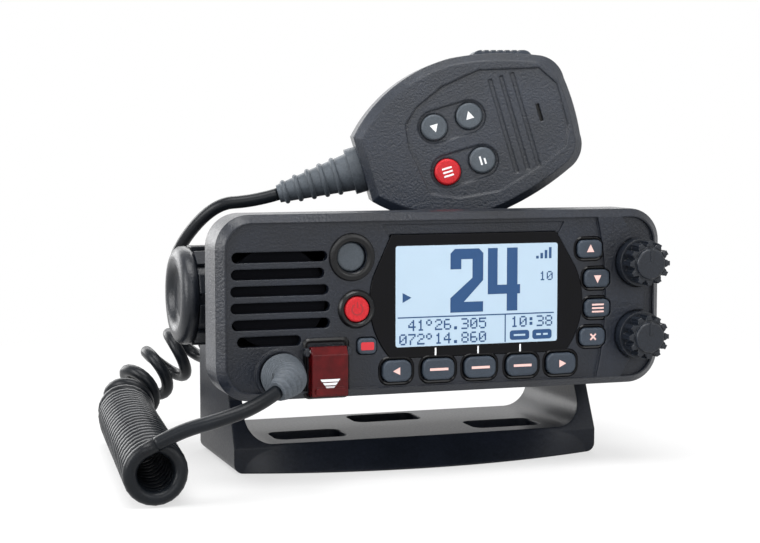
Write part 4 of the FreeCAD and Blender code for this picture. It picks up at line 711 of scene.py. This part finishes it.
# every place below is in millimetres from the glass's top left corner
bigSize = (display["bigWidth"], display["bigHeight"], display["bigStroke"])
bigBase = top - 1.3 - display["bigHeight"]
ink = [bigTwo(left + 18.4, bigBase, *bigSize), bigFour(left + 31.2, bigBase, *bigSize)]
ink += [bar(left + 27.5, top - 22.7, 53.6, 0.4), bar(left + 37.3, top - 27.3, 0.4, 8.8)]
ink += dots("41'26.305", left + 4.2, top - 23.5, pixel) + dots("072'14.860", left + 1.2, top - 27.9, pixel)
ink += dots("10:38", left + 39.3, top - 23.5, pixel) + dots("10", left + 49.2, top - 9.2, 0.42)
ink += [bar(left + 48.4 + 1.5 * k, top - 4.6 + 0.45 * k, 0.9, 0.9 + 0.9 * k) for k in range(4)]
ink += [arrow(left + 3.4, top - 16.4, 1.9, 0)]
ink += [roundedBox(left + x, top - 29.6, 6.8, 3.1, 0.9) for x in (42.3, 50.2)]
solid("display_ink", ink, display["front"] - display["inkProud"], 0.06, "displayInk", "radio")
pale = [bar(left + x, top - 29.6, width, 0.6) for x, width in ((42.3, 4.0), (49.0, 1.6), (51.4, 1.6))]
solid("display_badge_marks", pale, display["front"] - 2 * display["inkProud"], 0.06, "displayGlass", "radio")
ticks = [bar(x, up - 15.6, 0.5, 2.4) for x in (-3.9, 10.6, 25.2)]
wedge = [(62.2, up + 19.0), (62.9, up + 19.4), (61.4, up + 15.9), (60.9, up + 15.9)]
solid("window_ticks", ticks, -49.05, 0.08, "whiteInk", "radio")
solid("volume_wedge", [wedge], trim["faceFront"] - 0.04, 0.08, "whiteInk", "radio")

# Cover: a white triangle cut by stripes, with the places of its words bare
coverMark = {"x": -40.2, "top": 33.8, "width": 6.4, "height": 4.4, "stripes": 4, "inked": 0.72, "front": -53.45}
stripes = []
step = coverMark["height"] / coverMark["stripes"]
for k in range(coverMark["stripes"]):
    high = coverMark["top"] - k * step
    low = high - step * coverMark["inked"]
    lowWide, highWide = [coverMark["width"] / 2 * (1 - (coverMark["top"] - z) / coverMark["height"])
                         for z in (low, high)]
    stripes.append([(coverMark["x"] - lowWide, low), (coverMark["x"] + lowWide, low),
                    (coverMark["x"] + highWide, high), (coverMark["x"] - highWide, high)])
solid("cover_mark", stripes, coverMark["front"], 0.1, "whiteInk", "cover")

# Surround of the cover: each outline's rise, growth in width and height, and corner
surround = {"x": -40.2, "z": 36.1, "width": 11.6, "height": 15.4, "proud": 0.9, "depth": 1.1,
            "inner": (0.4, 0.9, 1.2, 0.8), "crest": (0.5, 2.2, 2.4, 1.3), "outer": (0.6, 3.4, 3.6, 1.8)}
outline = {}
for part in ("inner", "crest", "outer"):
    rise, wider, taller, corner = surround[part]
    outline[part] = roundedBox(surround["x"], surround["z"] + rise, surround["width"] + wider,
                               surround["height"] + taller, corner)
loops = [(outline["inner"], 1.0), (outline["inner"], 0.2), (outline["crest"], 0.0), (outline["outer"], 0.5),
         (outline["outer"], 1.0)]
ringSolid("coverSurround", [loops], trim["faceFront"] - surround["proud"], surround["depth"], "blackLacquer",
          "radio")

# Bars set round a circle, for the dials' teeth and the mount knobs' grip pads, with nothing random in them
barRing = bpy.data.node_groups.new("barRing", "GeometryNodeTree")
for label, kind in (("Count", "Int"), ("Radius", "Float"), ("Bar Size", "Vector"), ("Ring Turn", "Vector"),
                    ("Centre", "Vector"), ("Finish", "Material")):
    barRing.interface.new_socket(label, in_out="INPUT", socket_type="NodeSocket" + kind)
barRing.interface.new_socket("Geometry", in_out="OUTPUT", socket_type="NodeSocketGeometry")
given = addNode(barRing, "NodeGroupInput")
circle = addNode(barRing, "GeometryNodeMeshCircle", {},
                 {"Vertices": (given, "Count"), "Radius": (given, "Radius")})
bars = addNode(barRing, "GeometryNodeMeshCube", {}, {"Size": (given, "Bar Size")})
index = addNode(barRing, "GeometryNodeInputIndex")
step = addNode(barRing, "ShaderNodeMath", {"operation": "DIVIDE", 0: 2 * math.pi}, {1: (given, "Count")})
angle = addNode(barRing, "ShaderNodeMath", {"operation": "MULTIPLY"}, {0: (index, "Index"), 1: (step, "Value")})
turn = addNode(barRing, "ShaderNodeCombineXYZ", {}, {"Z": (angle, "Value")})
placed = addNode(barRing, "GeometryNodeInstanceOnPoints", {},
                 {"Points": (circle, "Mesh"), "Instance": (bars, "Mesh"), "Rotation": (turn, "Vector")})
moved = addNode(barRing, "GeometryNodeTransform", {},
                {"Geometry": (placed, "Instances"), "Translation": (given, "Centre"),
                 "Rotation": (given, "Ring Turn")})
real = addNode(barRing, "GeometryNodeRealizeInstances", {}, {"Geometry": (moved, "Geometry")})
coloured = addNode(barRing, "GeometryNodeSetMaterial", {},
                   {"Geometry": (real, "Geometry"), "Material": (given, "Finish")})
addNode(barRing, "NodeGroupOutput", {}, {"Geometry": (coloured, "Geometry")})


def ringOfBars(name, facts, finish, body):
    # the tree's result as one plain mesh that rides on one body
    holder = bpy.data.objects.new(name + "Holder", bpy.data.meshes.new(name + "Holder"))
    modifier = holder.modifiers.new("bars", "NODES")
    modifier.node_group = barRing
    chosen = dict(facts, Finish=finishes[finish])
    for item in barRing.interface.items_tree:
        if item.in_out == "INPUT":
            modifier[item.identifier] = chosen[item.name]
    scene.collection.objects.link(holder)
    bpy.context.view_layer.update()
    graph = bpy.context.evaluated_depsgraph_get()
    mesh = bpy.data.meshes.new_from_object(holder.evaluated_get(graph))
    holder.modifiers.remove(modifier)
    bpy.data.objects.remove(holder)
    made = link(name, mesh, finish)
    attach(made, body)
    return made


# Dials: squared teeth round the barrel and a raised pointer line on each face
dialFacts = {"x": 66.6, "teeth": 12, "ring": 6.25, "tooth": (1.7, 1.5, 6.0), "middle": -55.75,
             "pointer": (2.9, 0.7, 4.4), "pointerFront": -60.05}
for name, z in (("volume", up + 11.3), ("squelch", up - 12.7)):
    rise, wide, long = dialFacts["pointer"]
    solid(name + "_pointer", [bar(dialFacts["x"], z + rise, wide, long)], dialFacts["pointerFront"], 0.4,
          "dialAbs", name)
    ringOfBars(name + "_teeth", {
        "Count": dialFacts["teeth"], "Radius": dialFacts["ring"] * mm,
        "Bar Size": tuple(v * mm for v in dialFacts["tooth"]), "Ring Turn": (math.pi / 2, 0, 0),
        "Centre": (dialFacts["x"] * mm, dialFacts["middle"] * mm, z * mm)}, "dialAbs", name)

# Mount knobs: a rounded rim round a dished end, with grip pads on the side
knobFacts = {"inner": 63.7, "pads": 10, "ring": 15.6, "pad": (1.4, 6.4, 8.2), "padMiddle": 4.7,
             "profile": [(0.1, 15.2), (8.7, 15.2), (9.3, 16.0), (10.5, 16.3), (12.2, 16.1), (13.4, 15.2),
                         (14.1, 13.8), (14.3, 12.3), (14.1, 11.0), (13.4, 10.0), (12.4, 9.4), (11.8, 8.8),
                         (11.6, 7.8), (11.6, 0.02), (8.1, 0.02), (8.1, 3.1), (0.1, 3.1)]}
for tag, side in (("left", -1), ("right", 1)):
    outward = Matrix(((0, side, 0, side * knobFacts["inner"] * mm), (-side, 0, 0, 0), (0, 0, 1, axisHeight),
                      (0, 0, 0, 1)))
    loops = [(disc(0, 0, radius, 72), reach) for reach, radius in knobFacts["profile"]]
    knob = ringSolid(tag + "KnobBody", [loops], 0, 1, "mountKnobAbs", tag + "_knob", outward, smooth=True)
    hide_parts(tag + "_mount_knob")
    ringOfBars(tag + "KnobPads", {
        "Count": knobFacts["pads"], "Radius": knobFacts["ring"] * mm,
        "Bar Size": tuple(v * mm for v in knobFacts["pad"]), "Ring Turn": (0, math.pi / 2, 0),
        "Centre": (side * (knobFacts["inner"] + knobFacts["padMiddle"]) * mm, 0, axisHeight)},
        "mountKnobAbs", tag + "_knob")
print("stage: dials and mount knobs")

# Microphone marks, in its own tilted frame
micFrame = (Matrix.Translation(Vector((19.07, -11.75, 104.68)) * mm)
            @ Matrix.Rotation(math.radians(-15), 4, "Z") @ Matrix.Rotation(math.radians(-16.8), 4, "Y"))
micMarks = {
    "mic_down_key": [arrow(-6.9, 8.9, 1.7, 270)],
    "mic_up_key": [arrow(5.6, 9.2, 1.7, 90)],
    "mic_red_key": [bar(-6.8, -6.8, 3.4, 0.6), bar(-6.8, -5.5, 3.4, 0.6), bar(-6.8, -8.1, 3.4, 0.6)],
    "mic_grey_key": [bar(5.0, -6.4, 0.6, 3.0), bar(6.4, -6.9, 0.6, 2.0)],
}
for name, marks in micMarks.items():
    solid(name + "_mark", marks, -0.76, 0.12, "whiteInk", name + "_part", micFrame)
print("stage: marks and display")
